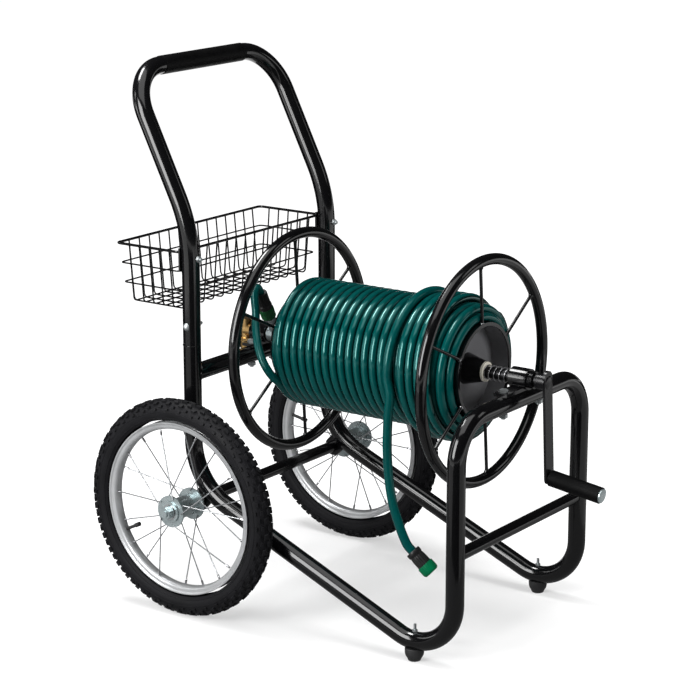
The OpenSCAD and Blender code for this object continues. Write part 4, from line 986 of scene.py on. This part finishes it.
class CART_OT_finishes(bpy.types.Operator):
    """The finishes of the frame, fittings and wheels"""

    bl_idname = "cart.finishes"
    bl_label = "Finishes"

    def execute(self, context):
        for key, nodes in FINISHES.items():
            for node in nodes:
                dress(node, key)
        return {"FINISHED"}


def lamp(name, place, aim, width, height, watts):
    """A soft rectangular lamp that faces its aim."""
    data = bpy.data.lights.new(name, "AREA")
    data.shape = "RECTANGLE"
    data.size, data.size_y = width, height
    data.energy = watts
    lit = bpy.data.objects.new(name, data)
    lit.location = place
    lit.rotation_euler = (Vector(aim) - Vector(place)).to_track_quat("-Z", "Y").to_euler()
    lit.visible_glossy = name != UNREFLECTED_LAMP
    bpy.context.scene.collection.objects.link(lit)


class CART_OT_stage(bpy.types.Operator):
    """The camera, lamps, floor and the cards that reflections see"""

    bl_idname = "cart.stage"
    bl_label = "Stage"

    def execute(self, context):
        scene = context.scene
        camera = bpy.data.objects.new("Camera", bpy.data.cameras.new("Camera"))
        camera.data.sensor_width = SENSOR_WIDTH
        camera.data.lens = LENS
        camera.data.clip_end = 50.0
        camera.location = CAMERA_AT
        view = Vector(CAMERA_AIM) - camera.location
        camera.rotation_euler = view.to_track_quat("-Z", "Y").to_euler()
        scene.collection.objects.link(camera)
        scene.camera = camera

        scene.view_settings.view_transform = "Standard"
        world = bpy.data.worlds.new("Studio")
        scene.world = world
        world.use_nodes = True
        rays = add_node(world.node_tree, "LightPath")
        dim = add_node(world.node_tree, "MapRange", {
            "Value": rays.outputs["Is Glossy Ray"], "To Min": SURROUND_LIGHT,
            "To Max": SURROUND_IN_REFLECTIONS})
        set_sockets(world.node_tree.nodes["Background"], {
            "Color": WHITE, "Strength": dim.outputs["Result"]})

        floor_mesh = bpy.data.meshes.new("floor")
        corners = ((-1, -1), (1, -1), (1, 1), (-1, 1))
        floor_mesh.from_pydata(
            [(x * FLOOR_REACH, y * FLOOR_REACH, 0) for x, y in corners], [], [(0, 1, 2, 3)])
        floor = bpy.data.objects.new("floor", floor_mesh)
        scene.collection.objects.link(floor)
        floor_mesh.materials.append(self.floor_finish())

        for values in LAMPS:
            lamp(*values)
        cards = {name: self.card_finish(name, glow) for name, glow in CARD_GLOWS.items()}
        for name, inner, outer, start, end, key in CARDS:
            card = self.floor_card(name, inner, outer, start, end)
            card.data.materials.append(cards[key])
        return {"FINISHED"}

    def card_finish(self, name, glow):
        """Near black, with an even glow that sets how light it looks in a reflection."""
        return glowing(finish(name, (0.012, 0.012, 0.012), (0.010, 0.010, 0.010), (0.8, 0.9),
                              specular=0.05, grain=(60.0, 0.02), cloud=1.0), glow)

    def floor_card(self, name, inner, outer, start, end):
        """A card lying just over the floor, which only reflections see. Formula: at angle a
        from start to end, the edge points are (r cos a, r sin a) for both radii r."""
        angle = np.radians(np.linspace(start, end, CARD_STEPS + 1))
        ring = np.stack([np.cos(angle), np.sin(angle), np.zeros(CARD_STEPS + 1)], 1)
        lift = np.array([0.0, 0.0, CARD_LIFT])
        points = np.concatenate([ring * inner + lift, ring * outer + lift])
        first = np.arange(CARD_STEPS)
        next_row = first + CARD_STEPS + 1
        faces = np.stack([first, next_row, next_row + 1, first + 1], 1)
        mesh = bpy.data.meshes.new(name)
        mesh.from_pydata(points.tolist(), [], faces.tolist())
        card = bpy.data.objects.new(name, mesh)
        card.visible_camera = False
        card.visible_diffuse = False
        card.visible_shadow = False
        card.visible_transmission = False
        bpy.context.scene.collection.objects.link(card)
        return card

    def floor_finish(self):
        """Pale floor. Where it is seen, directly, in a reflection or through a piece, it also
        glows, more with the distance from the rectangle the cart stands on, so that it runs into a
        white background; the weaker glow over that rectangle is a painted shadow under the cart.
        Formula: the distance is the length of max(|p - centre| - half size, 0)."""
        material = finish("Studio floor", (0.52, 0.52, 0.52), (0.50, 0.50, 0.50), (0.75, 0.85),
                          specular=0.1, grain=(60.0, 0.02), cloud=1.0)
        tree = material.node_tree
        centre, half_size = (0.0, 0.10, 0.0), (0.26, 0.33, 0.0)
        vector = tree.nodes["Texture Coordinate"].outputs["Object"]
        for operation, second in (
                ("SUBTRACT", {1: centre}), ("ABSOLUTE", {}), ("SUBTRACT", {1: half_size}),
                ("MAXIMUM", {1: (0.0, 0.0, 0.0)})):
            step = add_node(tree, "VectorMath", {0: vector, **second}, operation=operation)
            vector = step.outputs["Vector"]
        apart = add_node(tree, "VectorMath", {0: vector}, operation="LENGTH").outputs["Value"]
        # Painted shadow under the cart: the glow is lowest over the cart's rectangle and rises
        # over the first 0.16 m outside it.
        near = add_node(tree, "MapRange", {
            "Value": apart, "From Min": 0.0, "From Max": 0.16, "To Min": 0.44, "To Max": 0.68},
            interpolation_type="SMOOTHSTEP")
        far = add_node(tree, "MapRange", {
            "Value": apart, "From Min": 0.25, "From Max": 2.5, "To Max": 0.29})
        both = add_node(tree, "Math", {
            0: near.outputs["Result"], 1: far.outputs["Result"]}, operation="ADD")
        rays = add_node(tree, "LightPath")
        seen = rays.outputs["Is Camera Ray"]
        for name in ("Is Glossy Ray", "Is Transmission Ray"):
            either = add_node(tree, "Math", {0: seen, 1: rays.outputs[name]},
                              operation="MAXIMUM")
            seen = either.outputs["Value"]
        level = add_node(tree, "Math", {0: both.outputs["Value"], 1: seen},
                         operation="MULTIPLY")
        return glowing(material, level.outputs["Value"])


class CART_PT_panel(bpy.types.Panel):
    """Lists the cart's parts, sizes and colours"""

    bl_label = "Hose reel cart"
    bl_idname = "CART_PT_panel"
    bl_space_type = "VIEW_3D"
    bl_region_type = "UI"
    bl_category = "Hose Cart"

    def draw(self, context):
        for step in STEPS:
            self.layout.operator(f"cart.{step}")
        for group in (context.scene.cart_sizes, context.scene.cart_colours):
            for name in group.__annotations__:
                self.layout.prop(group, name)


STEPS = ("stage", "loose_hose", "wound_hose", "leader_fittings", "tyres", "rims", "spring",
         "welds", "feet", "finishes")
CLASSES = (CartColours, CartSizes, CART_OT_stage, CART_OT_loose_hose, CART_OT_wound_hose,
           CART_OT_leader_fittings, CART_OT_tyres, CART_OT_rims, CART_OT_spring, CART_OT_welds,
           CART_OT_feet, CART_OT_finishes, CART_PT_panel)


def register():
    """Adds the classes and the scene's fields."""
    for cls in CLASSES:
        bpy.utils.register_class(cls)
    bpy.types.Scene.cart_colours = bpy.props.PointerProperty(type=CartColours)
    bpy.types.Scene.cart_sizes = bpy.props.PointerProperty(type=CartSizes)


def unregister():
    """Takes them away again."""
    del bpy.types.Scene.cart_sizes
    del bpy.types.Scene.cart_colours
    for cls in reversed(CLASSES):
        bpy.utils.unregister_class(cls)


def main():
    """Builds every piece in order."""
    register()
    for step in STEPS:
        getattr(bpy.ops.cart, step)()


if __name__ == "__main__":
    main()
